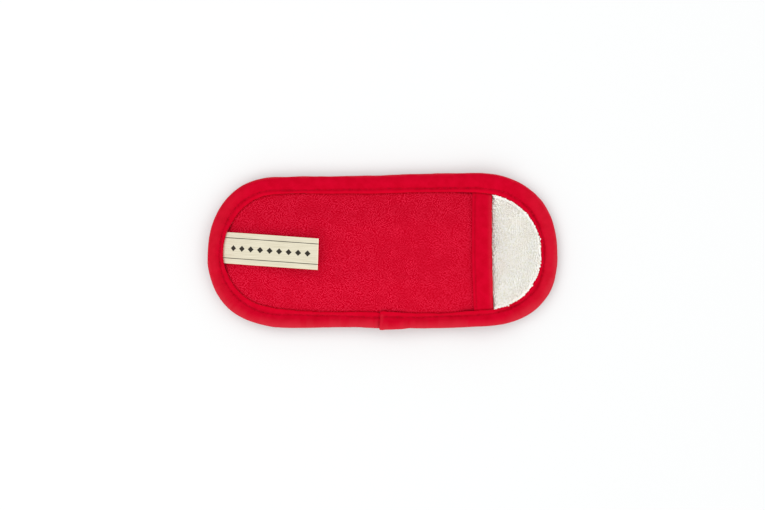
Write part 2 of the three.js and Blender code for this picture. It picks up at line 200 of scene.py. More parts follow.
# The binding's join: its turned-under end lies over its other end
LAP_LENGTH = 0.0080
LAP_FADE = 0.0160
LAP_MARGIN = 0.0040
LAP_COVERS = 0.0060
LAP_NARROWED = 0.0004
LAP_BULGE = 0.0003
LAP_BULGE_RUN = 0.0120
LAP_TUCK = 0.0006
LAP_TUCKED = (0.001, 0.005)
LAP_SPREAD_LOST = 0.45
LAP_SPREAD_RUN = 0.0110
LAP_SPREAD_ENDS = (0.0095, 0.0150)
LAP_SLANT = 0.0005
LAP_SLANT_FROM = 1.2
LAP_SLANT_RUN = 0.008
END_RUN = 0.0008
END_STATIONS = 6
END_ROUND = 0.0007
END_DROP = 0.00035
END_RIDGE = 0.00018
END_RIDGE_AT = 0.0014
END_RIDGE_WIDTH = 0.0008
JOIN_DIP = 0.00025
JOIN_DIP_BEFORE = 0.0003
JOIN_DIP_WIDTH = 0.0009
JOIN_DIP_FACE = (0.0038, 0.0056)

# The binding's stitches and the dents that they pull
STITCH_PITCH = 0.0027
STITCH_LENGTH = 0.0021
STITCH_RADIUS = 0.00017
STITCH_SAG = 0.00018
STITCH_SHOWS = 0.00010
STITCH_BELOW = 0.00022
STITCH_STEPS = 7
STITCH_SIDES = 6
SLOPE_STEP = 0.0005
DENT = 0.00020
DENT_SHARE = 0.6
DENT_LENGTH = 0.00045
DENT_WIDTH = 0.0011
CREASE_WIDTH = 0.0016
CREASE_SKEW = 0.5
DRAG_SKEW = 0.6

# Where the binding is lightened: wear with painted sheen, painted highlights, and painted light on its lip
RUB_SHEEN_LOW_SIDE = 0.0080
RUB_SHEEN_HIGH_SIDE = 0.0036
RUB_SHEEN_TO = 0.0010
SIDES = (-0.032, 0.032)
END_RUB_SHEEN = 0.22
END_RUB_SHEEN_FADE = (0.0062, 0.0105)
ROUND_ENDS = (0.060, 0.083)
LIP_AND_END_HIGHLIGHT = 0.34
LIP_HIGHLIGHT_FADE = (-0.030, 0.005)
LIP_CREST_WIDTH = 0.0006
LIP_FACE = (0.0030, 0.0045)
TURN_HIGHLIGHT_AT = 0.0009
TURN_HIGHLIGHT_WIDTH = 0.0007
# Painted light on the lip's inner half, stronger on the low side and weaker at the round ends
LIP_PAINTED_LIGHT_LOW = 0.75
LIP_PAINTED_LIGHT_HIGH = 0.42
LIP_PAINTED_LIGHT_FROM = 0.5
LIP_PAINTED_LIGHT_FADE = (-0.0004, 0.0003)
LIP_FADE_AT_ENDS = 0.75

# Slopes of the layers, past the binding's lip and past the mouth
SLOPE_START = 0.0006
BACK_SLOPE_END = 0.0050
LINING_SLOPE_INSIDE = 0.0090
LINING_SLOPE_OPEN = 0.0020
LINING_OPENS = (-0.002, 0.004)
LAP_SLOPE_END = 0.0130
PUFF = 0.0022
PUFF_SLOPE_END = 0.0110
PUFF_OPENS = (-0.006, 0.001)
CORNER_RUN = 0.0080
CORNER_OPENS = (0.0002, 0.0015)
LIP_SWELL = 0.0008
LIP_SWELL_RISES = (-0.0005, 0.0010)
LIP_SWELL_FALLS = 0.0030

# Label: a tape folded in two, whose root is caught under the binding
LABEL_FOLD = (-0.0304, -0.0014)
LABEL_LENGTH = 0.0501
LABEL_WIDTH = 0.0151
LABEL_TURN = math.radians(-4.1)
LABEL_LIFT = 0.0017
LABEL_LIFT_FROM = 0.0280
LABEL_LOOP = 0.0004
LABEL_LOOP_RUN = 0.0080
LABEL_FOLD_RUN = 0.0015
LABEL_EASE = 0.0011
LABEL_EASED = (0.0035, 0.0095)
LABEL_SKEW = 0.0006
LABEL_STATIONS = 70
LABEL_FOLD_STATIONS = 15
LABEL_ROWS = 81
LABEL_FREE = (-0.078, -0.070)
LABEL_RIB = 0.00002
LABEL_RIB_PITCH = 0.00078
# Painted highlights along the label's long edges and its fold
LABEL_EDGE_HIGHLIGHT = (0.0009, 0.0003)
LABEL_FOLD_HIGHLIGHT = (0.0010, 0.0005)
STRIPE_AT = 0.0049
STRIPE_HALF = (0.00021, 0.00012)
DIAMOND_PITCH = 0.0046
DIAMOND_REACH = 0.0015
DIAMOND_BLUR = 0.00006
DIAMOND_MARGIN = (0.0025, 0.0024)
DIAMONDS_FROM = 0.0056
DIAMONDS_TO = DIAMONDS_FROM + 8 * DIAMOND_PITCH

# Levels of the layers where the binding squeezes them together
LAP_LIFT = LAP_CLOTH + GAP
BACK_EDGE_BOTTOM = BINDING_CLOTH + GAP
BACK_TOP = BACK_EDGE_BOTTOM + EDGE_LAYER
LINING_BOTTOM = BACK_TOP + GAP
LINING_EDGE_TOP = LINING_BOTTOM + EDGE_LAYER
FRONT_EDGE_BOTTOM = LINING_EDGE_TOP + GAP
FRONT_EDGE_TOP = FRONT_EDGE_BOTTOM + FRONT_EDGE
BAND_LIFT = BAND_CLOTH + GAP
BAND_EDGE_TOP = FRONT_EDGE_BOTTOM + BAND_LIFT + FRONT_IN_BAND + GAP + BAND_CLOTH + BAND_RIDGE
LABEL_STACK = GAP + 2 * LABEL_CLOTH + GAP
MOUTH_EDGE = BAND_CLOTH + GAP

# Terry: loops of yarn in columns
LOOP_SEED = 11
LOOP_SIDES = 4
LOOP_RADIUS = 0.00026
LOOP_STEPS = 6
LOOP_BULGE = 0.35
LOOP_ROUNDNESS = 0.8
COLUMN_PITCH = 0.00088
COLUMN_JITTER = 0.25
COLUMN_BEND = 3.5
COLUMN_BENT = 0.078
LOOP_PITCH = 0.00082
LOOP_JITTER = 0.30
LOOPS_INSIDE = 0.0050
LOOPS_HALF = 0.035
LOOPS_PAST_LIP = 0.0005
LOOP_HEIGHT = (0.00070, 0.00095)
LOOP_LEAST = 0.0002
LOOP_FEET = (0.00036, 0.00058)
LOOP_DROP = 0.0003
LOOP_LEAN = 0.0006
LOOP_LEAN_STRAY = 0.8
LOOP_STRAY = 0.6
TALL_COLUMN = 1.35
SHORT_COLUMN = 0.95
SMOOTHED_FROM = (0.0695, 0.0710)
SMOOTHED_TO = (0.0735, 0.0750)
SMOOTHED_HALF = (0.011, 0.019)
SMOOTHED_HEIGHT = 0.0010
SMOOTHED_SHARE = 0.9
SMOOTHED_LEAN = 0.7
MOUTH_PILE = 0.0006
MOUTH_PILE_AT = 0.0008
MOUTH_PILE_WIDTH = 0.0010

# Terry along the binding's lip, past the mouth
RIM_SEED = 12
RIM_SIDES = 5
RIM_RUN = (0.040, 0.180)
RIM_PITCH = 0.00058
RIM_JITTER = 0.3
RIM_DEPTH = (0.0002, 0.0006)
RIM_ROW = 0.0006
RIM_PAST_MOUTH = 0.0003
RIM_TOOTH = 0.0021
RIM_REACH = (-0.0001, 0.0006)
RIM_REACH_STRAY = (0.6, 1.3)
RIM_HIGH_SIDE = 0.4
RIM_LOW_SIDE = (0.002, 0.018)
RIM_STRAY = 0.7
RIM_FEET = (0.0003, 0.0005)
RIM_LEAST = 0.0008
RIM_OVER = 0.0001
RIM_TALLER = (0, 0.0003)
RIM_DROP = 0.0002

# Smooth unevenness: its size, its cells along both parameters, and its seed
UNEVEN = {
    "back": (1, 0.011, 0.008, 3),
    "lining": (0.00008, 0.004, 0.004, 5),
    "teeth": (3, 0.004, 1, 8),
    "swirl": (0.30, 0.006, 0.009, 21),
    "columns": (0.0009, 0.009, 0.006, 22),
    "front_broad": (1, 0.021, 0.015, 31),
    "front_small": (0.5, 0.009, 0.007, 32),
    "long_slubs": (1, 0.0011, 0.0042, 33),
    "short_slubs": (1, 0.0012, 0.0012, 34),
    "band_face": (0.00005, 0.006, 0.003, 41),
    "band_fold": (0.00008, 0.005, 1, 42),
    "binding_width": (0.00012, 0.0035, 1, 51),
    "roll": (0.25, 0.012, 1, 52),
    "groove_depth": (0.3, 0.005, 1, 53),
    "groove_place": (0.00010, 0.004, 1, 54),
    "binding_broad": (0.00010, 0.0075, 0.004, 61),
    "binding_drag": (0.00005, 0.0026, 0.0034, 62),
    "creases": (0.00012, 0.0013, 0.003, 63),
    "dents": (0.4, 0.012, 1, 64),
    "label": (0.00012, 0.012, 0.009, 71),
}

# Weave: the yarns' pitches, how they wander, and what each thing adds to a crossing's tone
WARP_PITCH = 0.00052
WEFT_PITCH = 0.00046
WANDER = 0.0013
WANDERS_PER_METRE = 160.0
YARN_FLATNESS = 0.4
YARN_SWITCH = (-0.02, 0.02)
NEIGHBOUR_SHARE = 0.23
OWN_TONE = 2.9
OWN_TONE_ON_YARN = 0.95
OWN_TONE_IN_GAP = 0.10
CROSSING_TONE = 0.15
# Painted shade in the gaps between the yarns, and how wide it reaches
GAP_WIDTH = (0.0, 0.5)
YARN_GAP_PAINTED_SHADE = (-0.45, 0.12)
SLUB_TONE = 0.12
PATCHES = (0.38, 0.58)
PATCH_CONTRAST = (0.45, 1)
MIDDLE_TONE = 0.22
WOVEN_DARK = linear(184, 0, 27)
WOVEN_LIGHT = linear(221, 35, 66)

# The other cloths' colours
BINDING_DARK = linear(188, 3, 32)
BINDING_LIGHT = linear(198, 5, 38)
BINDING_THREAD = linear(206, 12, 46)
BINDING_PAINTED_SHEEN_AND_RUB = linear(194, 44, 58)
BINDING_PAINTED_LIGHT = linear(214, 5, 39)
THREAD_DARK = linear(182, 3, 31)
THREAD_LIGHT = linear(198, 7, 40)
TERRY_GREY = linear(243, 241, 227)
TERRY_LIGHT = linear(255, 254, 250)
TERRY_WARM = linear(252, 247, 238)
TAPE_DARK = linear(202, 194, 170)
TAPE_LIGHT = linear(219, 212, 190)
TAPE_EDGE_HIGHLIGHT = linear(217, 207, 182)
TAPE_FOLD_HIGHLIGHT = linear(246, 228, 205)
TAPE_PRINT = linear(38, 34, 26)

# Camera and light, set from the photograph's frame of 765 by 510 pixels
HOLDER_PIXELS = 349.8
METRES_PER_PIXEL = LENGTH / HOLDER_PIXELS
ORIGIN_PIXEL = (382.58, 251.5)
FRAME_CENTRE_PIXEL = (382.5, 255.0)
FRAME_WIDTH_PIXELS = 765
CAMERA_LENS = 85.0
CAMERA_SENSOR = 36.0
CAMERA_LEVEL = 0.0040
FLOOR_HALF = 3.0
FLOOR_LEVEL = -0.00003
FLOOR_COLOUR = (0.530, 0.487, 0.487, 1)
FLOOR_GLOW = (0.060, 0.144, 0.144, 1)
WORLD_LIGHT = 1.13
LAMPLIT = bpy.data.collections.new("lamplit")
TABLETOP = bpy.data.collections.new("tabletop")
LAMPS = (  # name, place, size, watts, what it lights
    ("key", (-0.75, -0.95, 0.50), 0.8, 3.4, LAMPLIT),
    ("fill", (1.05, -0.30, 0.45), 0.8, 1.8, LAMPLIT),
    ("table_one", (0.6, 0.6, 1.0), 0.9, 3.1, TABLETOP),
    ("table_two", (-0.6, 0.6, 1.0), 0.9, 4.9, TABLETOP),
    ("table_three", (-0.6, -0.6, 1.0), 0.9, 4.9, TABLETOP),
    ("table_four", (0.6, -0.6, 1.0), 0.9, 3.1, TABLETOP),
)


def ease(x, start, end):
    """A soft step from 0 at start to 1 at end: 3tt - 2ttt, for the share t of the way."""
    t = np.clip((x - start) / (end - start), 0, 1)
    return t * t * (3 - 2 * t)


def mix(a, b, share):
    """a at share 0, b at share 1, and a straight line between."""
    return a + (b - a) * share


def bell(x, width):
    """A bump of height 1 at x = 0 that falls off as e to the minus (x / width) squared."""
    return np.exp(-((x / width) ** 2))


def uneven(kind, u, v):
    """Smooth noise of a kind named above, from minus its size to its size: seeded values on a lattice of
    its cells, eased between the cells' corners."""
    height, cell_u, cell_v, seed = UNEVEN[kind]
    size = 128
    lattice = np.random.default_rng(seed).uniform(-1, 1, (size, size))
    p, q = u / cell_u, v / cell_v
    i, j = np.floor(p).astype(int), np.floor(q).astype(int)
    s, t = ease(p - i, 0, 1), ease(q - j, 0, 1)
    low = mix(lattice[i % size, j % size], lattice[(i + 1) % size, j % size], s)
    high = mix(lattice[i % size, (j + 1) % size], lattice[(i + 1) % size, (j + 1) % size], s)
    return height * mix(low, high, t)


def spline(points, samples):
    """Samples on a smooth cubic through the points, whose slope at each is half the step between its
    neighbours. The points lie on the last axis but one."""
    count = points.shape[-2]
    spot = np.linspace(0, count - 1, samples)
    i = np.minimum(spot.astype(int), count - 2)
    t = spot - i
    weights = np.zeros((samples, count))
    for shift, weight in (
        (-1, -0.5 * t + t**2 - 0.5 * t**3),
        (0, 1 - 2.5 * t**2 + 1.5 * t**3),
        (1, 0.5 * t + 2 * t**2 - 1.5 * t**3),
        (2, -0.5 * t**2 + 0.5 * t**3),
    ):
        np.add.at(weights, (np.arange(samples), np.clip(i + shift, 0, count - 1)), weight)
    return weights @ points


def lengths_along(rows):
    """The length along each row of points, from its first point."""
    steps = np.diff(rows, axis=1, prepend=rows[:, :1])
    return np.cumsum(np.linalg.norm(steps, axis=2), 1)


def quarter(end, side, tip_y, reach, spread, squareness):
    """A quarter of the outline, anticlockwise: x = end (L/2 - reach + reach sin(t)^p) and
    y = tip + side spread cos(t)^p, with p = 2 / squareness."""
    t = np.linspace(0, math.pi / 2, QUARTER_SAMPLES)
    if end * side > 0:
        t = t[::-1]
    power = 2 / squareness
    x = end * (LENGTH / 2 - reach + reach * np.sin(t) ** power)
    y = tip_y + side * spread * np.maximum(np.cos(t), 0) ** power
    return np.stack([x, y], 1)


def trace_outline():
    """The closed outline at even runs from the binding's join, its length and its inward directions."""
    start = np.array([[JOIN_X, RIGHT_TIP_Y - QUARTERS[0][4]]])
    corners = np.concatenate([start, *(quarter(*row) for row in QUARTERS), start])
    runs = np.concatenate([[0], np.cumsum(np.hypot(*np.diff(corners, axis=0).T))])
    count = round(runs[-1] / OUTLINE_STEP)
    even = np.arange(count) * runs[-1] / count
    points = np.stack([np.interp(even, runs, corners[:, k]) for k in (0, 1)], 1)
    reach = round(NORMAL_REACH / OUTLINE_STEP)
    forward = np.roll(points, -reach, 0) - np.roll(points, reach, 0)
    forward /= np.linalg.norm(forward, axis=1, keepdims=True)
    return runs[-1], points, np.stack([-forward[:, 1], forward[:, 0]], 1)


LOOP, OUTLINE, INWARD = trace_outline()


def outline_at(run):
    """The outline's points and inward directions at runs from the join."""
    count = len(OUTLINE)
    spot = np.mod(run, LOOP) / LOOP * count
    i = np.floor(spot).astype(int)
    share = (spot - i)[..., None]
    here, after = i % count, (i + 1) % count
    return mix(OUTLINE[here], OUTLINE[after], share), mix(INWARD[here], INWARD[after], share)


def evened_table():
    """The edge table at even runs, in metres: straight between its rows, and then averaged along the loop
    with bell-shaped weights."""
    count = round(LOOP / TABLE_STEP)
    runs = np.arange(count) * LOOP / count
    rows = EDGE_TABLE * MILLIMETRE
    values = np.stack([np.interp(runs, rows[:, 0], rows[:, k], period=LOOP) for k in (1, 2, 3)], 1)
    steps = np.arange(-TABLE_SPAN, TABLE_SPAN + 1)
    weights = bell(steps * TABLE_STEP, TABLE_REACH)
    return runs, sum(np.roll(values, k, 0) * w for k, w in zip(steps, weights)) / weights.sum()


EDGE_RUNS, EDGE_VALUES = evened_table()


def binding_swell(run):
    """How far the binding's wall swells out past the even outline."""
    return np.interp(run, EDGE_RUNS, EDGE_VALUES[:, 0], period=LOOP)


def binding_width(run):
    """The binding's visible width."""
    return np.interp(run, EDGE_RUNS, EDGE_VALUES[:, 1], period=LOOP)


def lip_width(run):
    """The width of the binding's lip, from its edge to the groove that its stitches pull in."""
    return np.interp(run, EDGE_RUNS, EDGE_VALUES[:, 2], period=LOOP)


def mouth_x(y):
    """The mouth's line across the pocket: a slight slant and bow."""
    return MOUTH_X + MOUTH_SLANT * y + MOUTH_BOW * y * y


def lap_rise(x):
    """How far the layers rise over the inner end of the binding, where its two ends lap."""
    start, end = JOIN_X - LAP_MARGIN, JOIN_X + LAP_LENGTH + LAP_MARGIN
    return LAP_LIFT * ease(x, start - LAP_FADE, start) * (1 - ease(x, end, end + LAP_FADE))


class Place:
    """Where points lie. run: of the outline's nearest point. past_lip: how far inside it, less the
    binding's width. past_mouth: along X. lift: over the binding's lap."""

    def __init__(self, x, y):
        flat = np.stack([x.ravel(), y.ravel()], 1)
        found = [self.nearest(part) for part in np.array_split(flat, 1 + len(flat) // POINTS_AT_ONCE)]
        self.run = np.concatenate([run for run, _ in found]).reshape(x.shape)
        depth = np.concatenate([depth for _, depth in found]).reshape(x.shape)
        self.past_lip = depth - binding_width(self.run)
        self.past_mouth = x - mouth_x(y)
        fade = 1 - ease(self.past_lip, SLOPE_START, LAP_SLOPE_END)
        self.lift = np.where(y < 0, lap_rise(x) * fade, 0)

    @staticmethod
    def nearest(points):
        """The run of the outline's nearest point, found coarsely and then among its neighbours, and how
        far inside it each point lies."""
        count = len(OUTLINE)
        coarse = np.arange(0, count, COARSE_STEP)
        away = points[:, None] - OUTLINE[coarse]
        guess = coarse[np.argmin((away**2).sum(2), 1)]
        window = (guess[:, None] + np.arange(-COARSE_STEP, COARSE_STEP + 1)) % count
        away = points[:, None] - OUTLINE[window]
        pick = np.argmin((away**2).sum(2), 1)
        rows = np.arange(len(points))
        index = window[rows, pick]
        return index * LOOP / count, (away[rows, pick] * INWARD[index]).sum(1)


def back_bottom(place):
    """Underside of the back panel: over the binding at the rim, on the table from there in."""
    return BACK_EDGE_BOTTOM * (1 - ease(place.past_lip, SLOPE_START, BACK_SLOPE_END)) + place.lift


def lining_top(place):
    """Top of the lining's ground cloth, full at once where it is open and later inside the pocket. Past
    the mouth it puffs up, and beside the mouth's ends it rises to the binding."""
    slope_end = mix(LINING_SLOPE_INSIDE, LINING_SLOPE_OPEN, ease(place.past_mouth, *LINING_OPENS))
    swell = (LINING_MIDDLE - EDGE_LAYER) * ease(place.past_lip, SLOPE_START, slope_end)
    inward = np.clip(place.past_lip / PUFF_SLOPE_END, 0, 1)
    puff = PUFF * ease(place.past_mouth, *PUFF_OPENS) * inward * (2 - inward)
    edge, _ = outline_at(place.run)
    held = held_top(edge[..., 0], edge[..., 1]) - LINING_EDGE_TOP
    corner = held * (1 - ease(place.past_lip, 0, CORNER_RUN)) * ease(place.past_mouth, *CORNER_OPENS)
    return LINING_EDGE_TOP + swell + puff + corner + place.lift


def band_share(place):
    """0 away from the mouth band, 1 in its fold."""
    return ease(place.past_mouth, -BAND_WIDTH - BAND_APPROACH, -BAND_WIDTH - BAND_CLEAR)


def front_bottom(place):
    """Underside of the front panel: it crowns over the pocket, sags a little towards the mouth and rises
    into the band's fold."""
    sag = MOUTH_SAG * ease(place.past_mouth, *MOUTH_SAG_RUN)
    crown = CROWN * ease(place.past_lip, 0, CROWN_RUN) * (1 - sag)
    return FRONT_EDGE_BOTTOM + BAND_LIFT * band_share(place) + crown + place.lift


def front_top(place):
    """Top of the front panel: its underside and its thickness, pressed thin in the band's fold and a
    little swollen beside the binding's lip."""
    free = mix(FRONT_EDGE, FRONT_MIDDLE, ease(place.past_lip, 0, CROWN_RUN))
    falls = 1 - ease(place.past_lip, LIP_SWELL_FALLS, CROWN_RUN)
    swell = LIP_SWELL * (ease(place.past_lip, *LIP_SWELL_RISES) * falls)
    return front_bottom(place) + mix(free, FRONT_IN_BAND, band_share(place)) + swell


def held_top(x, y):
    """The highest layer that the binding holds at the outline's points: the band, the bare lining or the
    label's root."""
    past_mouth = x - mouth_x(y)
    banded = mix(FRONT_EDGE_TOP, BAND_EDGE_TOP, ease(past_mouth, *CLIMB))
    level = mix(banded, LINING_EDGE_TOP, ease(past_mouth, *FALL))
    root_y = LABEL_FOLD[1] - math.sin(LABEL_TURN) * LABEL_LENGTH
    from_root = np.abs(y - root_y) - LABEL_WIDTH / 2
    rooted = LABEL_STACK * (1 - ease(from_root, *ROOT_FADE))
    return level + np.where(x < 0, rooted, 0) + np.where(y < 0, lap_rise(x), 0)


def in_scene(name, data):
    """A new object with that data, linked to the scene."""
    made = bpy.data.objects.new(name, data)
    bpy.context.scene.collection.objects.link(made)
    return made


def new_piece(name, points, faces, uv, material, wear_and_painted_light=None):
    """A mesh object of those points and faces, turned to face out, which rides on the holder. The last
    argument tells how much each point takes wear, painted sheen and painted highlights, from 0 to 1, and
    how much painted light on the binding's lip, from 0 to -1."""
    points = points.reshape(-1, 3)
    quads = faces[0]
    a, b, c, d = (points[quads[:, k]] for k in range(4))
    volume = (a * np.cross(b, c)).sum() + (a * np.cross(c, d)).sum()
    if volume < 0:
        faces = [part[:, ::-1] for part in faces]
    mesh = bpy.data.meshes.new(name)
    mesh.from_pydata(points.tolist(), [], [face for part in faces for face in part.tolist()])
    layer = mesh.uv_layers.new(name="cloth")
    corners = np.empty(len(mesh.loops), int)
    mesh.loops.foreach_get("vertex_index", corners)
    layer.data.foreach_set("uv", uv.reshape(-1, 2)[corners].astype(np.float32).ravel())
    if wear_and_painted_light is not None:
        painted_light_and_rub = mesh.attributes.new("wear_and_painted_light", "FLOAT", "POINT")
        painted_light_and_rub.data.foreach_set("value", wear_and_painted_light.astype(np.float32).ravel())
    mesh.shade_smooth()
    mesh.materials.append(material)
    piece = in_scene(name, mesh)
    LAMPLIT.objects.link(piece)
    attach(piece, "root")
    return piece


def folded(outer, inner):
    """A closed sheet or strip from two grids of the same size: its two faces, joined by quads round their
    rims."""
    rows, columns = outer.shape[:2]
    index = np.arange(rows * columns).reshape(rows, columns)
    quads = np.stack([index[:-1, :-1], index[:-1, 1:], index[1:, 1:], index[1:, :-1]], -1).reshape(-1, 4)
    shift = rows * columns
    rim = np.concatenate([index[0, :-1], index[:-1, -1], index[-1, :0:-1], index[:0:-1, 0]])
    after = np.roll(rim, -1)
    wall = np.stack([rim, rim + shift, after + shift, after], 1)
    points = np.concatenate([outer.reshape(-1, 3), inner.reshape(-1, 3)])
    return points, [np.concatenate([quads, quads[:, ::-1] + shift, wall])]


def slab(x, y, bottom, top):
    """A closed sheet whose underside and top share x and y."""
    points, faces = folded(np.stack([x, y, bottom], -1), np.stack([x, y, top], -1))
    return points, faces, points[:, :2]


def tubes(paths, radius, reference, sides):
    """Closed tubes: rings square to each path, with their first side square to the reference too, and
    both ends capped. paths are (tubes, steps, 3), and radius has one value for each step."""
    along = np.gradient(paths, axis=1)
    along /= np.linalg.norm(along, axis=2, keepdims=True)
    side = np.cross(along, reference)
    side /= np.linalg.norm(side, axis=2, keepdims=True)
    other = np.cross(along, side)
    turn = (np.arange(sides) + 0.5) * 2 * math.pi / sides
    ring = np.cos(turn)[:, None] * side[:, :, None] + np.sin(turn)[:, None] * other[:, :, None]
    points = paths[:, :, None] + radius[:, None, None] * ring
    index = np.arange(points[..., 0].size).reshape(points.shape[:3])
    caps = np.concatenate([index[:, 0, ::-1], index[:, -1]])
    steps = np.broadcast_to(np.linspace(0, 1, paths.shape[1])[:, None], points.shape[1:3])
    uv = np.stack([np.broadcast_to(steps, points.shape[:3]), points[..., 0]], -1)
    return points, [ring_quads(index), caps], uv


def ring_quads(index):
    """Quads from each ring of points to the next, told by their indices."""
    near, far = index[..., :-1, :], index[..., 1:, :]
    return np.stack([near, np.roll(near, -1, -1), np.roll(far, -1, -1), far], -1).reshape(-1, 4)


def cut_area(x, y):
    """Flat area of a grid's plan, in square metres."""
    across, down = np.diff(x, axis=0)[:, :-1], np.diff(x, axis=1)[:-1]
    return float(np.abs(across * np.diff(y, axis=1)[:-1] - down * np.diff(y, axis=0)[:, :-1]).sum())


def drawn_in(inset):
    """The outline drawn in by an inset: its two tips along X, and its lower and upper sides as y at x."""
    points = OUTLINE + INWARD * inset
    left, right = points[np.argmin(points[:, 0])], points[np.argmax(points[:, 0])]
    chord = mix(left[1], right[1], (points[:, 0] - left[0]) / (right[0] - left[0]))
    sides = []
    for keep in (points[:, 1] <= chord, points[:, 1] > chord):
        side = points[keep]
        side = side[np.argsort(side[:, 0])]
        sides.append(lambda x, side=side: np.interp(x, side[:, 0], side[:, 1]))
    return left[0], right[0], sides[0], sides[1]


def oval_grid(spacing, right=None):
    """A grid that fills the drawn-in outline: stations along X, closer at round tips, and even rows across
    it. With right, the stations end on that straight line instead of the right tip."""
    first, last, low, high = drawn_in(PANEL_INSET)
    last = last if right is None else right
    count = round((last - first) / spacing)
    share = np.linspace(0, 1, count)
    if right is None:
        crowded = (1 - np.cos(math.pi * share)) / 2
        share = crowded * TIP_CROWDING + share * (1 - TIP_CROWDING)
    x = mix(first + TIP_INSET, last - (TIP_INSET if right is None else 0), share)
    t = np.linspace(0, 1, round(2 * PANEL_HALF / spacing))
    y = mix(low(x)[:, None], high(x)[:, None], t)
    return np.repeat(x[:, None], len(t), 1), y


def back_cloth(material):
    """The back panel: it lies on the table and its rim is squeezed into the binding."""
    x, y = oval_grid(BACK_SPACING)
    place = Place(x, y)
    inside = ease(place.past_lip, *BACK_RUMPLED)
    bottom = back_bottom(place) + BACK_RUMPLE * inside * (1 + uneven("back", x, y))
    points, faces, uv = slab(x, y, bottom, BACK_TOP + place.lift)
    piece = new_piece("back_cloth", points, faces, uv, material)
    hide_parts("back_panel")


def lining_cloth(material):
    """The terry's ground cloth, from the level where it lies on the back panel up to just under the pile's
    roots, and its cut area."""
    x, y = oval_grid(LINING_SPACING)
    place = Place(x, y)
    top = lining_top(place) - LINING_SUNK + uneven("lining", x, y)
    points, faces, uv = slab(x, y, np.full_like(x, LINING_BOTTOM) + place.lift, top)
    piece = new_piece("lining_cloth", points, faces, uv, material)
    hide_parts("lining")
    return piece, cut_area(x, y)


def yarn_loops(name, material, root, feet, turn, height, lean, drop, sides):
    """Loops of yarn, each half a turn: across = feet cos(t) (1 + 0.35 sin(t)) and up = sin(t)^0.8, so that
    a point stands height times up high and leans out by lean times up squared. Both feet reach down by
    drop. root and lean are (loops, 3)."""
    t = np.linspace(0, math.pi, LOOP_STEPS)
    across = -np.cos(t) * (1 + LOOP_BULGE * np.sin(t)) * feet[:, None]
    up = np.sin(t) ** LOOP_ROUNDNESS
    paths = root[:, None] + lean[:, None] * (up**2)[:, None]
    paths[..., 0] += across * np.cos(turn)[:, None]
    paths[..., 1] += across * np.sin(turn)[:, None]
    paths[..., 2] += height[:, None] * up - drop
    square = np.stack([-np.sin(turn), np.cos(turn), np.zeros(len(turn))], 1)[:, None]
    points, faces, uv = tubes(paths, np.full(LOOP_STEPS, LOOP_RADIUS), square, sides)
    return new_piece(name, points, faces, uv, material)


def terry_roots(random):
    """Places for the loops: wavy columns, each shifted by half a pitch from the last and bent more like the
    round end's curve the nearer it is to that end. Every other column is told by its parity."""
    column = np.arange(round((LENGTH / 2 - MOUTH_X + LOOPS_INSIDE) / COLUMN_PITCH))
    place = np.arange(round(2 * LOOPS_HALF / LOOP_PITCH))
    column, place = np.meshgrid(column, place)
    x = MOUTH_X - LOOPS_INSIDE + column * COLUMN_PITCH
    y = -LOOPS_HALF + (place + 0.5 * (column % 2)) * LOOP_PITCH
    x = x - COLUMN_BEND * ease(x, MOUTH_X, COLUMN_BENT) * y**2 + uneven("columns", x, y)
    x += random.uniform(-COLUMN_JITTER, COLUMN_JITTER, x.shape) * COLUMN_PITCH
    y += random.uniform(-LOOP_JITTER, LOOP_JITTER, y.shape) * LOOP_PITCH
    return x.ravel(), y.ravel(), (column % 2).ravel()


def terry_loops(material):
    """The pile: a field of loops that lie mostly along their columns, one column taller than the next,
    flatter in a smoothed patch near the open end's tip. Under the front panel they are pressed low."""
    random = np.random.default_rng(LOOP_SEED)
    x, y, parity = terry_roots(random)
    place = Place(x, y)
    keep = (place.past_lip > LOOPS_PAST_LIP) & (x > MOUTH_X - LOOPS_INSIDE)
    x, y, parity, place = x[keep], y[keep], parity[keep], Place(x[keep], y[keep])
    count = len(x)
    turn = math.pi * (0.5 + uneven("swirl", x, y)) + random.uniform(-LOOP_STRAY, LOOP_STRAY, count)
    smoothed = ease(x, *SMOOTHED_FROM) * (1 - ease(x, *SMOOTHED_TO)) * (1 - ease(np.abs(y), *SMOOTHED_HALF))
    height = mix(TALL_COLUMN, SHORT_COLUMN, parity) * random.uniform(*LOOP_HEIGHT, count)
    height = mix(height, SMOOTHED_HEIGHT, SMOOTHED_SHARE * smoothed)
    height += MOUTH_PILE * bell(place.past_mouth - MOUTH_PILE_AT, MOUTH_PILE_WIDTH)
    reach = random.uniform(-LOOP_LEAN, LOOP_LEAN, count) * (1 - SMOOTHED_LEAN * smoothed)
    lean_turn = turn + random.uniform(-LOOP_LEAN_STRAY, LOOP_LEAN_STRAY, count)
    lean = np.stack([reach * np.cos(lean_turn), reach * np.sin(lean_turn), np.zeros(count)], 1)
    root_z = lining_top(place)
    room = front_bottom(place) - GAP - BAND_CLOTH - root_z - LOOP_RADIUS
    pressed = np.clip(height, LOOP_LEAST, np.maximum(room, LOOP_LEAST))
    height = np.where(place.past_mouth < 0, pressed, height)
    feet = random.uniform(*LOOP_FEET, count)
    root = np.stack([x, y, root_z], 1)
    return yarn_loops("terry_loops", material, root, feet, turn, height, lean, LOOP_DROP, LOOP_SIDES)


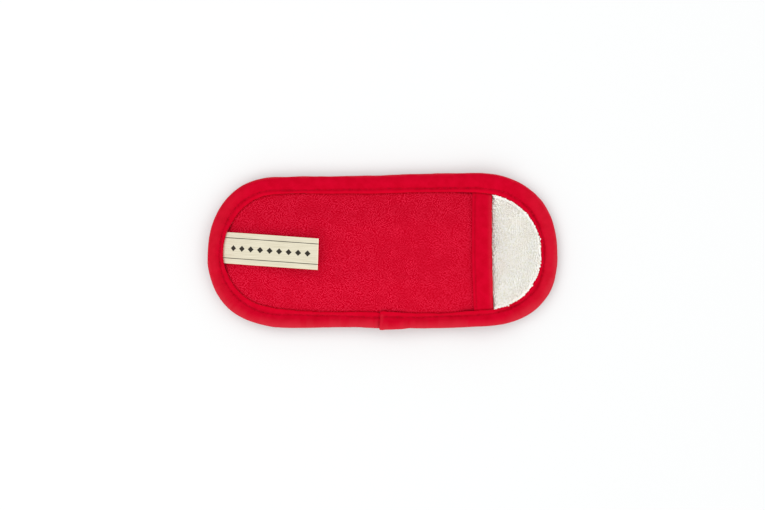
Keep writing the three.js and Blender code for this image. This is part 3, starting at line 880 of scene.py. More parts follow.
def terry_edge(material):
    """Two rows of loops along the binding's lip past the mouth, which lean out over it in uneven teeth."""
    random = np.random.default_rng(RIM_SEED)
    run = np.tile(np.arange(*RIM_RUN, RIM_PITCH), 2)
    row = np.repeat(np.arange(2), len(run) // 2)
    run += random.uniform(-RIM_JITTER, RIM_JITTER, len(run)) * RIM_ROW
    edge, inward = outline_at(run)
    depth = binding_width(run) + random.uniform(*RIM_DEPTH, len(run)) + row * RIM_ROW
    spot = edge + inward * depth[:, None]
    keep = spot[:, 0] - mouth_x(spot[:, 1]) > RIM_PAST_MOUTH
    run, edge, spot, inward, row = run[keep], edge[keep], spot[keep], inward[keep], row[keep]
    count = len(run)
    tooth = np.maximum(0, np.sin(2 * math.pi * run / RIM_TOOTH + uneven("teeth", run, run)))
    low_side = 1 - ease(spot[:, 1], *RIM_LOW_SIDE)
    reach = mix(*RIM_REACH, tooth * mix(RIM_HIGH_SIDE, 1, low_side))
    reach = reach * random.uniform(*RIM_REACH_STRAY, count)
    lean = np.concatenate([-inward * (reach / (1 + row))[:, None], np.zeros((count, 1))], 1)
    square = np.arctan2(inward[:, 1], inward[:, 0]) + math.pi / 2
    turn = square + random.uniform(-RIM_STRAY, RIM_STRAY, count)
    root = np.concatenate([spot, lining_top(Place(spot[:, 0], spot[:, 1]))[:, None]], 1)
    feet = random.uniform(*RIM_FEET, count)
    height = held_top(edge[:, 0], edge[:, 1]) + GAP + BINDING_CLOTH + RIM_OVER - root[:, 2]
    height = np.maximum(height, RIM_LEAST) + random.uniform(*RIM_TALLER, count)
    return yarn_loops("terry_edge", material, root, feet, turn, height, lean, RIM_DROP, RIM_SIDES)


def front_cloth(material):
    """The front panel, with faint unevenness and slubs in its face."""
    x, y = oval_grid(FRONT_SPACING, right=MOUTH_X - MOUTH_EDGE)
    x = x + (mouth_x(y) - MOUTH_X) * ease(x, *MOUTH_FOLLOWED)
    place = Place(x, y)
    free = ease(place.past_lip, *FRONT_FREE) * (1 - band_share(place))
    waves = uneven("front_broad", x, y) + uneven("front_small", x, y)
    slubs = uneven("long_slubs", x, y) + uneven("short_slubs", x, y)
    top = front_top(place) + free * (FRONT_WAVES * waves + FRONT_SLUBS * slubs)
    points, faces, uv = slab(x, y, front_bottom(place), top)
    piece = new_piece("front_cloth", points, faces, uv, material)
    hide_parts("front_panel")


def band_heights(back, y):
    """Underside and top of what the mouth band wraps, at distances back from the mouth."""
    mouth = mouth_x(y)
    place = Place(np.minimum(mouth - back, mouth - MOUTH_EDGE), y)
    return front_bottom(place) - GAP, front_top(place) + GAP


def band_grid(face, y, samples):
    """One face of the band: a profile of (back, share of the way up, rise) rows, carried across the mouth.
    Share 0 is the wrapped cloth's underside and 1 its top."""
    back = np.repeat(face[None, :, 0], len(y), 0)
    across = np.repeat(y[:, None], face.shape[0], 1)
    bottom, top = band_heights(back, across)
    z = mix(bottom, top, face[:, 1]) + face[:, 2]
    x = mouth_x(across) - back
    return spline(np.stack([x, across, z], -1), samples)


def mouth_band(material, thread):
    """The band folded over the mouth's edge: a turned-under edge with a ridge, a stitched valley and a
    rounded fold, with shallow puckers between the stitches."""
    middle = MOUTH_X - BAND_WIDTH / 2
    _, _, low, high = drawn_in(BAND_TUCK)
    y = np.linspace(float(low(middle)), float(high(middle)), BAND_STATIONS)
    cloth = BAND_CLOTH
    outer = np.array(
        [
            (BAND_WIDTH + 0.0001, 1, 0.00005),
            (BAND_WIDTH + 0.0001, 1, cloth * 0.7),
            (BAND_WIDTH - 0.0003, 1, cloth + 0.00012),
            (BAND_STITCH + 0.0005, 1, cloth + 0.00010),
            (BAND_STITCH, 1, cloth - 0.00020),
            (BAND_STITCH - 0.0006, 1, cloth + 0.00010),
            (BAND_STITCH - 0.0016, 1, cloth + 0.00014),
            (BAND_WIDTH * 0.5, 1, cloth + 0.00006),
            (0.0024, 1, cloth),
            (0.0012, 1, cloth - 0.00002),
            (0.0003, 1, cloth * 0.35),
            (0.0, 0.5, 0),
            (0.0003, 0, -cloth * 0.35),
            (0.0012, 0, -cloth),
            (0.0030, 0, -cloth),
            (BAND_WIDTH * 0.5, 0, -cloth),
            (BAND_WIDTH, 0, -cloth),
        ]
    )
    inner = np.array(
        [
            (BAND_WIDTH, 1, 0),
            (BAND_WIDTH * 0.66, 1, 0),
            (BAND_WIDTH * 0.33, 1, 0),
            (cloth, 1, 0),
            (cloth, 0, 0),
            (BAND_WIDTH * 0.33, 0, 0),
            (BAND_WIDTH * 0.66, 0, 0),
            (BAND_WIDTH, 0, 0),
        ]
    )
    face = band_grid(outer, y, BAND_SAMPLES)
    along = face[..., 1]
    back = mouth_x(along) - face[..., 0]
    upper = np.arange(BAND_SAMPLES) < BAND_SAMPLES * BAND_UPPER_SHARE
    pucker = np.sin(math.pi * along / BAND_STITCH_PITCH) ** 2
    near = bell(back - BAND_STITCH, BAND_PUCKER_WIDTH) * upper
    face[..., 2] += near * BAND_PUCKER * (pucker - BAND_PUCKER_MIDDLE)
    face[..., 2] += upper * uneven("band_face", along, back) * (back > BAND_FLAT_FROM)
    face[..., 0] += bell(back, BAND_FOLD_WIDTH) * uneven("band_fold", along, back)
    points, faces = folded(face, band_grid(inner, y, BAND_SAMPLES))
    uv = np.tile(np.stack([along, lengths_along(face)], -1).reshape(-1, 2), (2, 1))
    # A painted highlight along the band's rounded fold.
    painted_light_and_rub = BAND_FOLD_HIGHLIGHT * bell(back - BAND_FOLD_HIGHLIGHT_AT, BAND_FOLD_HIGHLIGHT_WIDTH) * upper
    wear_and_painted_light = np.stack([painted_light_and_rub, np.zeros_like(back)])
    piece = new_piece("mouth_band_cloth", points, faces, uv, material, wear_and_painted_light)
    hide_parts("mouth_band")
    stitches = band_stitches(thread, y[0], y[-1])


def stitch_row(name, thread, middle, along, length, radius, sag):
    """Short stitches along a seam: each runs from t = -1 to 1 half lengths about its middle and rises by
    sag (1 - tt), so that its ends sink into the cloth. Its radius falls towards them as the square root of
    1.02 - t^6."""
    t = np.linspace(-1, 1, STITCH_STEPS)
    paths = middle[:, None] + along[:, None] * (t * length / 2)[:, None]
    paths[..., 2] += sag * (1 - t**2) - sag * 0.5
    taper = radius * np.sqrt(np.clip(1.02 - t**6, 0.02, 1))
    up = np.array([0.0, 0.0, 1.0])
    points, faces, uv = tubes(paths, taper, up, STITCH_SIDES)
    return new_piece(name, points, faces, uv, thread)


def band_stitch_line(y):
    """Where the band's stitches run: x and z at y."""
    back = np.full_like(y, BAND_STITCH)
    top = band_heights(back, y)[1]
    return mouth_x(y) - back, top + BAND_CLOTH - BAND_STITCH_SUNK


def band_stitches(thread, first, last):
    """The row of stitches that holds the band's turned-under edge."""
    y = np.arange(first + BAND_STITCH_MARGIN, last - BAND_STITCH_PITCH, BAND_STITCH_PITCH)
    x, z = band_stitch_line(y)
    next_x, next_z = band_stitch_line(y + BAND_SLOPE_STEP)
    middle = np.stack([x, y, z], 1)
    along = np.stack([(next_x - x) / BAND_SLOPE_STEP, np.ones_like(y), (next_z - z) / BAND_SLOPE_STEP], 1)
    sizes = BAND_STITCH_LENGTH, BAND_STITCH_RADIUS, BAND_STITCH_SAG
    return stitch_row("band_stitches", thread, middle, along, *sizes)


def controls(rows):
    """Rows of (depth, height), where each is one value or one for each run, as one array."""
    return np.stack([np.stack(np.broadcast_arrays(*row), -1) for row in rows], -2)


def binding_levels(run):
    """The binding's sizes at runs from the join: its outer offset, width, floor, underside of the upper
    half, cloth, roll, the groove's place and depth, and how far the lip drops."""
    points, _ = outline_at(run)
    x, y = points[..., 0], points[..., 1]
    covering = 1 - ease(run, LAP_LENGTH, LAP_LENGTH + LAP_COVERS)
    covered = ease(run, LOOP - LAP_FADE, LOOP - LAP_MARGIN)
    tucked = ease(run, LOOP + LAP_TUCKED[0], LOOP + LAP_TUCKED[1])
    bulge = LAP_BULGE * ease(run, LOOP - LAP_BULGE_RUN, LOOP) - LAP_TUCK * tucked
    spread = (1 - LAP_SPREAD_LOST * ease(run, 0, LAP_SPREAD_RUN)) * (1 - ease(run, *LAP_SPREAD_ENDS))
    opens = ease(x - mouth_x(y), *GROOVE_OPENS)
    width = binding_width(run) - covered * LAP_NARROWED + uneven("binding_width", run, run)
    return {
        "outer": -LAP_LIFT * spread - binding_swell(run) - bulge,
        "width": width,
        "floor": np.where(run > LOOP / 2, lap_rise(x) * covered, 0),
        "under": held_top(x, y) + GAP + LAP_LIFT * covering,
        "cloth": mix(BINDING_CLOTH, LAP_CLOTH, np.maximum(covering, covered)),
        "roll": ROLL * (1 - covered) * (1 + uneven("roll", run, run)),
        "groove_at": width - lip_width(run) + uneven("groove_place", run, run),
        "groove": mix(GROOVE_CLOSED, GROOVE_OPEN, opens) * (1 + uneven("groove_depth", run, run)),
        "drop": LIP_DROP * opens,
    }


def binding_outer(run):
    """The binding's outer profile at each run: lip, groove, roll, round wall, flat underside with its
    groove, and lower lip, as (depth, height) controls."""
    sizes = binding_levels(run)
    top = sizes["under"] + sizes["cloth"]
    floor, width, outer = sizes["floor"], sizes["width"], sizes["outer"]
    stitch = sizes["groove_at"]
    lip = width - stitch
    lip_top = top - sizes["drop"]
    crest = top + sizes["roll"]
    thin = sizes["cloth"] / BINDING_CLOTH
    reach = (stitch - outer) * WALL_SHARE
    middle, half = (floor + crest) / 2, (crest - floor) / 2
    wall = []
    for degrees in WALL_DEGREES:
        turn = math.radians(degrees)
        side = reach if degrees > 0 else WALL_LOW
        depth = outer + side * (1 - math.cos(turn) ** WALL_ROUNDNESS)
        wall.append((depth, middle + half * math.copysign(abs(math.sin(turn)) ** WALL_ROUNDNESS, degrees)))
    rows = [
        (width, sizes["under"] - 0.00008),
        (width + 0.00003, lip_top - 0.0004 * thin),
        (width - 0.00025, lip_top + 0.00002),
        (width - LIP_CREST * lip, lip_top + LIP_RISE),
        (width - 0.70 * lip, lip_top - 0.00002),
        (stitch, top - sizes["groove"]),
        (stitch - 0.00055, top - 0.25 * sizes["groove"]),
        (stitch - 0.00120, top + 0.00010),
        (mix(stitch - 0.0012, outer + reach, 0.5), top + sizes["roll"] * 0.8),
        *wall,
        (stitch - 0.0010, floor),
        (stitch, floor + 0.0003),
        (stitch + 0.4 * lip, floor + 0.00003),
        (width - 0.0004, floor + 0.00005),
        (width, floor + 0.0004),
        (width, floor + 0.0009 * thin),
    ]
    return controls(rows)


def binding_inner(run):
    """The binding's inner profile at each run, round the rims of the layers."""
    sizes = binding_levels(run)
    wall = sizes["outer"] + sizes["cloth"]
    low, under = sizes["floor"] + sizes["cloth"], sizes["under"]
    middle = (sizes["floor"] + under) / 2
    rows = [
        (sizes["width"], under - 0.00013),
        (wall + 0.0030, under),
        (wall + 0.0016, under),
        (wall + 0.0004, under - 0.0009),
        (wall, middle),
        (wall + 0.0004, low + 0.0009),
        (wall + 0.0016, low),
        (wall + 0.0030, low),
        (sizes["width"], low),
    ]
    return controls(rows)


def carried(profile, run):
    """A profile of (depth, height) points carried along the outline."""
    points, inward = outline_at(run)
    spot = points[:, None] + inward[:, None] * profile[..., :1]
    return np.concatenate([spot, profile[..., 1:]], -1)


def binding_relief(runs, profile, girth, groove_at):
    """How far the binding's upper face stands out: uneven all over, creased and dented beside the groove,
    ridged and rounded down at its turned-under end, and dipped where the end lies over the rest."""
    from_groove = profile[..., 0] - groove_at[:, None]
    hole = bell(np.mod(runs, STITCH_PITCH) - STITCH_PITCH / 2, DENT_LENGTH)
    relief = uneven("binding_broad", runs, girth)
    relief += uneven("binding_drag", runs + DRAG_SKEW * girth, girth)
    relief += bell(from_groove, CREASE_WIDTH) * uneven("creases", runs + CREASE_SKEW * girth, girth)
    relief -= bell(from_groove, DENT_WIDTH) * DENT * hole * (DENT_SHARE + uneven("dents", runs, runs))
    start = np.clip(runs / END_ROUND, 0, 1)
    tuck = 1 - np.sqrt(start * (2 - start))
    relief += END_RIDGE * bell(runs - END_RIDGE_AT, END_RIDGE_WIDTH) - END_DROP * tuck
    dip = bell(runs - LOOP + JOIN_DIP_BEFORE, JOIN_DIP_WIDTH) * (runs < LOOP)
    relief -= JOIN_DIP * (dip * ease(profile[..., 1], *JOIN_DIP_FACE))
    return relief * ease(profile[..., 1], *UPPER_FACE)


def binding_wear_and_painted_light(run, sizes, profile, spot, girth):
    """How much the binding is lightened: most on its outermost wall, by wear and painted sheen; less along
    the crest of its lip on the low side and on its turned-under end, by painted highlights; somewhat all
    over the roll at the two round ends, by wear and painted reflection; and more on the low side, by
    painted light. Where it isn't lightened so, painted light on the inner half of the lip is told by values
    below 0, more on the low side."""
    outermost = np.argmin(profile[..., 0], 1)[:, None]
    from_wall = np.abs(girth - np.take_along_axis(girth, outermost, 1))
    from_lip = profile[..., 0] - sizes["width"][:, None]
    high_side = ease(spot[..., 1], *SIDES)
    at_ends = ease(np.abs(spot[..., 0]), *ROUND_ENDS)
    above = ease(profile[..., 1], *LIP_FACE)
    # Wear with painted sheen on the outermost wall, reaching further on the low side as painted light, and
    # wear with painted reflection over the round ends.
    wall = 1 - ease(from_wall, RUB_SHEEN_TO, mix(RUB_SHEEN_LOW_SIDE, RUB_SHEEN_HIGH_SIDE, high_side))
    ends = END_RUB_SHEEN * at_ends * (1 - ease(from_wall, *END_RUB_SHEEN_FADE))
    # Painted highlights along the lip's crest on the low side, and across the turned-under end.
    crest = bell(from_lip + LIP_CREST * lip_width(run), LIP_CREST_WIDTH)
    lip = LIP_AND_END_HIGHLIGHT * crest * above * (1 - ease(spot[..., 1], *LIP_HIGHLIGHT_FADE))
    turned = LIP_AND_END_HIGHLIGHT * bell(run - TURN_HIGHLIGHT_AT, TURN_HIGHLIGHT_WIDTH) * above
    painted_light_and_rub = np.maximum(np.maximum(wall, ends), np.maximum(lip, turned))
    # Painted light on the lip's inner half, stronger on the low side, told by values below 0.
    inner_half = ease(from_lip + LIP_PAINTED_LIGHT_FROM * lip_width(run), *LIP_PAINTED_LIGHT_FADE)
    pressed = mix(LIP_PAINTED_LIGHT_LOW, LIP_PAINTED_LIGHT_HIGH, high_side) * inner_half * above
    return painted_light_and_rub - pressed * (1 - LIP_FADE_AT_ENDS * at_ends)


def edge_binding(material, thread):
    """The binding: one long folded strip round the outline. Its outer end starts at the join, rounded
    like a turned-under edge and slanting a little, and its inner end runs on under it."""
    start = np.linspace(0, END_RUN, END_STATIONS)[:-1]
    run = np.concatenate([start, np.arange(END_RUN, LOOP + LAP_LENGTH, BINDING_STEP)])
    sizes = binding_levels(run)
    profile = spline(binding_outer(run), BINDING_SAMPLES)
    step = np.gradient(profile, axis=1)
    out = np.stack([step[..., 1], -step[..., 0]], -1)
    out /= np.maximum(np.linalg.norm(out, axis=2, keepdims=True), 1e-9)
    girth = lengths_along(profile)
    runs = np.repeat(run[:, None], BINDING_SAMPLES, 1)
    profile = profile + out * binding_relief(runs, profile, girth, sizes["groove_at"])[..., None]
    inner = spline(binding_inner(run), BINDING_INNER_SAMPLES)
    around_depth = np.concatenate([profile, inner[:, ::-1]], 1)[..., 0]
    points = np.concatenate([carried(profile, run), carried(inner, run)[:, ::-1]], 1)
    slanting = LAP_SLANT * (LAP_SLANT_FROM - around_depth / sizes["width"][:, None])
    points[..., 0] -= slanting * (1 - ease(run, 0, LAP_SLANT_RUN))[:, None]
    rows, around = points.shape[:2]
    index = np.arange(rows * around).reshape(rows, around)
    faces = [ring_quads(index), np.stack([index[0, ::-1], index[-1]])]
    hidden = np.linspace(girth[:, -1], girth[:, 0], BINDING_INNER_SAMPLES, axis=1)
    uv = np.stack([np.repeat(run[:, None], around, 1), np.concatenate([girth, hidden], 1)], -1)
    # One value for each point: wear, painted sheen and highlights, and painted light on the lip.
    wear_and_painted_light = np.zeros((rows, around))
    outside = points[:, :BINDING_SAMPLES]
    wear_and_painted_light[:, :BINDING_SAMPLES] = binding_wear_and_painted_light(runs, sizes, profile, outside, girth)
    piece = new_piece("edge_binding_cloth", points, faces, uv, material, wear_and_painted_light)
    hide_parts("edge_binding")
    stitches = binding_stitches(thread)


def binding_stitches(thread):
    """Two rows of stitches through the binding: one in the groove above and one in the groove below."""
    run = np.arange(0, LOOP - STITCH_PITCH, STITCH_PITCH) + STITCH_PITCH
    sizes, ahead = binding_levels(run), binding_levels(run + SLOPE_STEP)
    edge, inward = outline_at(run)
    middle = edge + inward * sizes["groove_at"][:, None]
    above = sizes["under"] + sizes["cloth"] - sizes["groove"] + STITCH_SHOWS
    slope = (ahead["under"] + ahead["cloth"] - sizes["under"] - sizes["cloth"]) / SLOPE_STEP
    below = sizes["floor"] + STITCH_BELOW
    pieces = []
    for name, z, rise, sag in (
        ("binding_stitches_top", above, slope, STITCH_SAG),
        ("binding_stitches_back", below, np.zeros_like(run), -STITCH_SAG),
    ):
        along = np.stack([inward[:, 1], -inward[:, 0], rise], 1)
        place = np.concatenate([middle, z[:, None]], 1)
        pieces.append(stitch_row(name, thread, place, along, STITCH_LENGTH, STITCH_RADIUS, sag))
    return pieces


def label_place(run, across):
    """Where a point of the label lies: run from its root and across its middle line."""
    back = LABEL_LENGTH - run
    skew = LABEL_SKEW * (0.5 - across / LABEL_WIDTH) * ease(run, 0, LABEL_LENGTH)
    x = LABEL_FOLD[0] - back * math.cos(LABEL_TURN) - across * math.sin(LABEL_TURN) + skew
    y = LABEL_FOLD[1] - back * math.sin(LABEL_TURN) + across * math.cos(LABEL_TURN)
    return x, y


def label_grid(run, over, across):
    """A face of the label: its profile of run and height over the front panel, carried across."""
    runs, acrosses = np.meshgrid(run, across)
    x, y = label_place(runs, acrosses)
    return np.stack([x, y, front_top(Place(x, y)) + over], -1)


def woven_label(material):
    """The label: a tape whose two layers part a little towards a soft loop at the fold, and which lifts
    off the panel towards its free end. Fine ribs run along it."""
    last = LABEL_LENGTH - LABEL_FOLD_RUN
    run = np.linspace(0, last, LABEL_STATIONS)
    lift = GAP + LABEL_EASE * ease(run, *LABEL_EASED)
    lift = lift + LABEL_LIFT * ease(run, LABEL_LIFT_FROM, LABEL_LENGTH)
    parted = GAP + LABEL_LOOP * ease(run, LABEL_LENGTH - LABEL_LOOP_RUN, LABEL_LENGTH)
    tight = parted[-1] / 2
    centre = lift[-1] + LABEL_CLOTH + tight
    turn = np.linspace(-math.pi / 2, math.pi / 2, LABEL_FOLD_STATIONS)[1:-1]
    across = np.linspace(-LABEL_WIDTH / 2, LABEL_WIDTH / 2, LABEL_ROWS)
    grids = []
    for radius, low, high in (
        (tight + LABEL_CLOTH, lift, lift + 2 * LABEL_CLOTH + parted),
        (tight, lift + LABEL_CLOTH, lift + LABEL_CLOTH + parted),
    ):
        there_and_back = np.concatenate([run, last + radius * np.cos(turn), run[::-1]])
        over = np.concatenate([low, centre + radius * np.sin(turn), high[::-1]])
        grids.append(label_grid(there_and_back, over, across))
    outer, inner = grids
    wave = uneven("label", outer[..., 0], outer[..., 1])
    settle = ease(outer[..., 0], *LABEL_FREE)
    ribs = LABEL_RIB * np.cos(2 * math.pi * across / LABEL_RIB_PITCH)[:, None]
    ribs = ribs * np.where(np.arange(outer.shape[1]) > len(run), 1, -1)
    outer[..., 2] += settle * (wave + ribs)
    inner[..., 2] += settle * wave
    points, quads = folded(outer, inner)
    middle_row = outer[LABEL_ROWS // 2][None]
    girth = lengths_along(middle_row)[0]
    from_fold = girth - girth[len(run) + len(turn) // 2]
    uv = np.stack(np.broadcast_arrays(from_fold[None], across[:, None]), -1)
    uv = np.tile(uv.reshape(-1, 2), (2, 1))
    piece = new_piece("label_tape_cloth", points, quads, uv, material)
    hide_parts("label")


def add(tree, kind, inputs=None, **settings):
    """A shader node of that kind, its inputs set to values or linked to sockets."""
    made = tree.nodes.new("ShaderNode" + kind)
    for key, value in settings.items():
        setattr(made, key, value)
    for key, value in (inputs or {}).items():
        if isinstance(value, bpy.types.NodeSocket):
            tree.links.new(value, made.inputs[key])
        else:
            made.inputs[key].default_value = value
    return made


def new_material(name, inputs):
    """A material, its tree and its shader, with what is the same all over set on the shader."""
    material = bpy.data.materials.new(name)
    material.use_nodes = True
    tree = material.node_tree
    shader = tree.nodes["Principled BSDF"]
    for key, value in inputs.items():
        shader.inputs[key].default_value = value
    return material, tree, shader


def cloth_material(name, roughness, specular, sheen, sheen_tint, sheen_roughness=0.5):
    """A cloth's material, with the sheen of its fibres."""
    return new_material(
        name,
        {
            "Roughness": roughness,
            "Specular IOR Level": specular,
            "Sheen Weight": sheen,
            "Sheen Roughness": sheen_roughness,
            "Sheen Tint": sheen_tint,
        },
    )


def noise(tree, vector, size, detail=1.0, stretch=(1, 1, 1)):
    """Noise whose features are about that size in metres, longer along an axis by its stretch."""
    scale = [1 / (size * s) for s in stretch]
    placed = add(tree, "Mapping", {"Vector": vector, "Scale": scale})
    return add(
        tree, "TexNoise", {"Vector": placed.outputs[0], "Scale": 1.0, "Detail": detail, "Roughness": 0.55}
    ).outputs["Fac"]


def ranged(tree, value, low, high, to_low=0.0, to_high=1.0):
    """value's range from low to high, eased to a new range."""
    return add(
        tree,
        "MapRange",
        {"Value": value, "From Min": low, "From Max": high, "To Min": to_low, "To Max": to_high},
        interpolation_type="SMOOTHSTEP",
    ).outputs["Result"]


def sums(tree, operation, a, b=0.0):
    """One sum of two values or sockets."""
    return add(tree, "Math", {0: a, 1: b}, operation=operation).outputs[0]


def vectors(tree, operation, a, b=(0, 0, 0)):
    """One sum of two vectors or sockets."""
    return add(tree, "VectorMath", {0: a, 1: b}, operation=operation).outputs[0]


def mixed(tree, share, a, b):
    """Two colours mixed by a share."""
    return add(tree, "Mix", {"Factor": share, "A": a, "B": b}, data_type="RGBA").outputs["Result"]


def finish_cloth(tree, shader, colour, relief=None, depth=0.0):
    """The cloth's colour, and a bump of that depth in metres from its relief."""
    tree.links.new(colour, shader.inputs["Base Color"])
    if relief is not None:
        bump = add(tree, "Bump", {"Height": relief, "Distance": depth, "Strength": 1.0})
        tree.links.new(bump.outputs[0], shader.inputs["Normal"])


def stands_out(tree, cell):
    """A random tone of each cell, less nearly the mean of its four neighbours' tones."""
    tones = []
    for step in ((0, 0, 0), (1, 0, 0), (-1, 0, 0), (0, 1, 0), (0, -1, 0)):
        beside = vectors(tree, "ADD", cell, step)
        tones.append(add(tree, "TexWhiteNoise", {"Vector": beside}, noise_dimensions="2D").outputs["Value"])
    around = tones[1]
    for tone in tones[2:]:
        around = sums(tree, "ADD", around, tone)
    return sums(tree, "SUBTRACT", tones[0], sums(tree, "MULTIPLY", around, NEIGHBOUR_SHARE))


def crossed_yarns(tree, counted):
    """Each crossing, from -1 where the weft lies on top to 1 where the warp does, and how high the upper
    yarn stands: the sine across it times a flattened sine along it."""
    apart = add(tree, "SeparateXYZ", {0: counted})
    waves = [sums(tree, "SINE", sums(tree, "MULTIPLY", apart.outputs[k], math.pi)) for k in (0, 1)]
    crossing = sums(tree, "MULTIPLY", *waves)
    across, along = (sums(tree, "ABSOLUTE", wave) for wave in waves)
    warp = sums(tree, "MULTIPLY", across, sums(tree, "POWER", along, YARN_FLATNESS))
    weft = sums(tree, "MULTIPLY", along, sums(tree, "POWER", across, YARN_FLATNESS))
    warp_up = ranged(tree, crossing, *YARN_SWITCH)
    over = sums(tree, "MULTIPLY", warp_up, sums(tree, "SUBTRACT", warp, weft))
    return crossing, sums(tree, "ADD", weft, over)


def woven_red():
    """Matt plain weave: at each crossing either the warp or the weft yarn lies on top, with its own
    lightness and painted shade in the gaps round it. The yarns wander a little. Faint slubs run along the
    warp, and the contrast is stronger in loose patches."""
    material, tree, shader = cloth_material(
        "woven_red",
        roughness=0.95,
        specular=0.0,
        sheen=0.07,
        sheen_tint=(1, 0.4, 0.45, 1),
        sheen_roughness=0.3,
    )
    here = add(tree, "TexCoord").outputs["Object"]
    wander = add(tree, "TexNoise", {"Vector": here, "Scale": WANDERS_PER_METRE, "Detail": 1.0})
    wander = vectors(tree, "SUBTRACT", wander.outputs["Color"], (0.5, 0.5, 0.5))
    wander = vectors(tree, "MULTIPLY", wander, (WANDER, WANDER, WANDER))
    moved = vectors(tree, "ADD", here, wander)
    counted = vectors(tree, "MULTIPLY", moved, (1 / WARP_PITCH, 1 / WEFT_PITCH, 0))
    own = sums(tree, "MULTIPLY", stands_out(tree, vectors(tree, "FLOOR", counted)), OWN_TONE)
    crossing, yarn = crossed_yarns(tree, counted)
    patches = ranged(tree, noise(tree, here, size=0.008), *PATCHES, *PATCH_CONTRAST)
    slubs = sums(tree, "SUBTRACT", noise(tree, here, size=0.0007, stretch=(1, 4, 4)), 0.5)
    on_yarn = sums(tree, "ADD", sums(tree, "MULTIPLY", yarn, OWN_TONE_ON_YARN), OWN_TONE_IN_GAP)
    tone = sums(tree, "MULTIPLY", own, on_yarn)
    tone = sums(tree, "ADD", tone, sums(tree, "MULTIPLY", crossing, CROSSING_TONE))
    # Painted shade in the gaps between the yarns.
    tone = sums(tree, "ADD", tone, ranged(tree, yarn, *GAP_WIDTH, *YARN_GAP_PAINTED_SHADE))
    tone = sums(tree, "MULTIPLY", tone, patches)
    tone = sums(tree, "ADD", tone, sums(tree, "MULTIPLY", slubs, SLUB_TONE))
    tone = sums(tree, "ADD", tone, MIDDLE_TONE)
    finish_cloth(tree, shader, mixed(tree, tone, WOVEN_DARK, WOVEN_LIGHT), yarn, depth=0.00007)
    return material


def binding_red():
    """Smooth, finely woven cotton: faint mottling and cross threads that follow the strip, lighter and
    duller where it takes wear, painted sheen and painted highlights, and brighter where it takes painted
    light on the lip."""
    material, tree, shader = cloth_material(
        "binding_red",
        roughness=0.85,
        specular=0.005,
        sheen=0.20,
        sheen_tint=(1, 0.40, 0.42, 1),
        sheen_roughness=0.25,
    )
    along = add(tree, "UVMap", uv_map="cloth").outputs[0]
    wear_and_painted_light = add(tree, "Attribute", attribute_name="wear_and_painted_light").outputs["Fac"]
    mottle = noise(tree, along, size=0.0045, detail=2)
    fine = noise(tree, along, size=0.00035, stretch=(1, 3, 1))
    base = mixed(tree, ranged(tree, mottle, 0.3, 0.7), BINDING_DARK, BINDING_LIGHT)
    base = mixed(tree, ranged(tree, fine, 0.45, 0.8, 0, 0.25), base, BINDING_THREAD)
    # Above 0: wear, painted sheen and painted highlights, lighter and duller.
    painted_light_and_rub = sums(tree, "MULTIPLY", wear_and_painted_light, ranged(tree, mottle, 0.25, 0.60, 0.82, 1.0))
    base = mixed(tree, painted_light_and_rub, base, BINDING_PAINTED_SHEEN_AND_RUB)
    # Below 0: painted light on the lip's inner half, brighter.
    base = mixed(tree, sums(tree, "MULTIPLY", wear_and_painted_light, -1.0), base, BINDING_PAINTED_LIGHT)
    relief = sums(tree, "ADD", fine, sums(tree, "MULTIPLY", mottle, 2.0))
    finish_cloth(tree, shader, base, relief, depth=0.00008)
    return material


def thread_red():
    """Twisted red thread, a little glossier than the cloth."""
    material, tree, shader = cloth_material(
        "thread_red", roughness=0.6, specular=0.02, sheen=0.1, sheen_tint=(1, 0.3, 0.35, 1)
    )
    here = add(tree, "TexCoord").outputs["Object"]
    finish_cloth(tree, shader, mixed(tree, noise(tree, here, size=0.0004), THREAD_DARK, THREAD_LIGHT))
    return material


def terry_white():
    """White cotton pile with faint warm and grey-green flecks."""
    material, tree, shader = cloth_material(
        "terry_white", roughness=1.0, specular=0.05, sheen=0.60, sheen_tint=(1, 0.99, 0.95, 1)
    )
    here = add(tree, "TexCoord").outputs["Object"]
    flecks = noise(tree, here, size=0.0008, stretch=(1, 1.6, 1))
    patches = noise(tree, here, size=0.006)
    base = mixed(tree, ranged(tree, flecks, 0.36, 0.52), TERRY_GREY, TERRY_LIGHT)
    base = mixed(tree, ranged(tree, patches, 0.4, 0.7, 0, 0.5), base, TERRY_WARM)
    finish_cloth(tree, shader, base, noise(tree, here, size=0.00018), depth=0.00005)
    return material


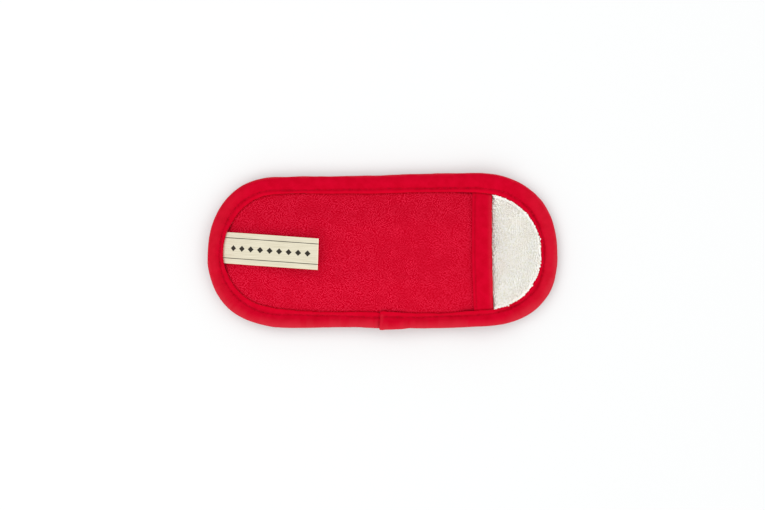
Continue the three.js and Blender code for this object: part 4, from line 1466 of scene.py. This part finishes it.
def label_cream():
    """Cream tape with fine ribs along it, a painted highlight on its fold and slightly lighter long edges
    as painted highlight, two thin dark stripes and a row of plain small diamonds."""
    material, tree, shader = cloth_material(
        "label_cream", roughness=0.6, specular=0.2, sheen=0.1, sheen_tint=(1, 1, 0.9, 1)
    )
    along = add(tree, "UVMap", uv_map="cloth").outputs[0]
    apart = add(tree, "SeparateXYZ", {0: along})
    run, across = apart.outputs[0], apart.outputs[1]
    ribs = noise(tree, along, size=0.00032, stretch=(40, 1, 1))
    tone = mixed(tree, ranged(tree, ribs, 0.3, 0.7), TAPE_DARK, TAPE_LIGHT)
    from_middle = sums(tree, "ABSOLUTE", across)
    from_fold = sums(tree, "ABSOLUTE", run)
    # Painted highlights: slightly lighter long edges and a lighter line on the fold.
    edge = ranged(tree, from_middle, *(LABEL_WIDTH / 2 - inset for inset in LABEL_EDGE_HIGHLIGHT))
    tone = mixed(tree, edge, tone, TAPE_EDGE_HIGHLIGHT)
    tone = mixed(tree, ranged(tree, from_fold, *LABEL_FOLD_HIGHLIGHT), tone, TAPE_FOLD_HIGHLIGHT)
    from_stripe = sums(tree, "ABSOLUTE", sums(tree, "SUBTRACT", from_middle, STRIPE_AT))
    stripe = ranged(tree, from_stripe, *STRIPE_HALF)
    spot = sums(tree, "PINGPONG", sums(tree, "SUBTRACT", run, DIAMONDS_FROM), DIAMOND_PITCH / 2)
    from_diamond = sums(tree, "ADD", spot, from_middle)
    diamond = ranged(tree, from_diamond, DIAMOND_REACH + DIAMOND_BLUR, DIAMOND_REACH - DIAMOND_BLUR)
    begun = ranged(tree, run, *(DIAMONDS_FROM - margin for margin in DIAMOND_MARGIN))
    ended = ranged(tree, run, *(DIAMONDS_TO + margin for margin in DIAMOND_MARGIN))
    printed = sums(tree, "MULTIPLY", diamond, sums(tree, "MULTIPLY", begun, ended))
    upper = ranged(tree, run, 0.0, 0.0001)
    printed = sums(tree, "MULTIPLY", sums(tree, "MAXIMUM", printed, stripe), upper)
    finish_cloth(tree, shader, mixed(tree, printed, tone, TAPE_PRINT), ribs, depth=0.00006)
    return material


def floor():
    """A plain white floor just under the holder."""
    mesh = bpy.data.meshes.new("floor")
    signs = ((-1, -1), (1, -1), (1, 1), (-1, 1))
    corners = [(x * FLOOR_HALF, y * FLOOR_HALF, FLOOR_LEVEL) for x, y in signs]
    mesh.from_pydata(corners, [], [(0, 1, 2, 3)])
    inputs = {
        "Base Color": FLOOR_COLOUR,
        "Emission Color": FLOOR_GLOW,
        "Emission Strength": 1.0,
        "Roughness": 1.0,
        "Specular IOR Level": 0.0,
    }
    material, _, _ = new_material("floor_white", inputs)
    mesh.materials.append(material)
    made = in_scene("floor", mesh)
    TABLETOP.objects.link(made)


def studio():
    """Even light from all round, a broad soft lamp from the photograph's lower left, and a weaker one from
    its right. These two light only the holder. Four high lamps light only the floor, so that the holder's
    soft shadow is even all round."""
    world = bpy.data.worlds.new("studio")
    world.use_nodes = True
    background = world.node_tree.nodes["Background"]
    background.inputs["Color"].default_value = (1, 1, 1, 1)
    background.inputs["Strength"].default_value = WORLD_LIGHT
    bpy.context.scene.world = world
    for name, place, size, energy, lit in LAMPS:
        lamp = bpy.data.lights.new(name, "AREA")
        lamp.shape = "DISK"
        lamp.size = size
        lamp.energy = energy
        made = in_scene(name, lamp)
        made.location = place
        made.rotation_mode = "QUATERNION"
        made.rotation_quaternion = (-made.location).to_track_quat("-Z", "Y")
        made.light_linking.receiver_collection = lit


def camera():
    """Straight down on the holder, at the distance that gives the photograph's pixels their size."""
    data = bpy.data.cameras.new("camera")
    data.lens = CAMERA_LENS
    data.sensor_width = CAMERA_SENSOR
    made = in_scene("camera", data)
    distance = FRAME_WIDTH_PIXELS * METRES_PER_PIXEL * CAMERA_LENS / CAMERA_SENSOR
    made.location = (
        (FRAME_CENTRE_PIXEL[0] - ORIGIN_PIXEL[0]) * METRES_PER_PIXEL,
        (ORIGIN_PIXEL[1] - FRAME_CENTRE_PIXEL[1]) * METRES_PER_PIXEL,
        CAMERA_LEVEL + distance,
    )
    bpy.context.scene.camera = made


def holder():
    """All the pieces, from the table up."""
    woven, binding, thread = woven_red(), binding_red(), thread_red()
    terry, tape = terry_white(), label_cream()
    back_cloth(woven)
    lining, area = lining_cloth(terry)
    loops = [terry_loops(terry), terry_edge(terry)]
    front_cloth(woven)
    mouth_band(binding, thread)
    edge_binding(binding, thread)
    woven_label(tape)


camera()
studio()
floor()
holder()
bpy.context.scene.view_settings.view_transform = "Standard"
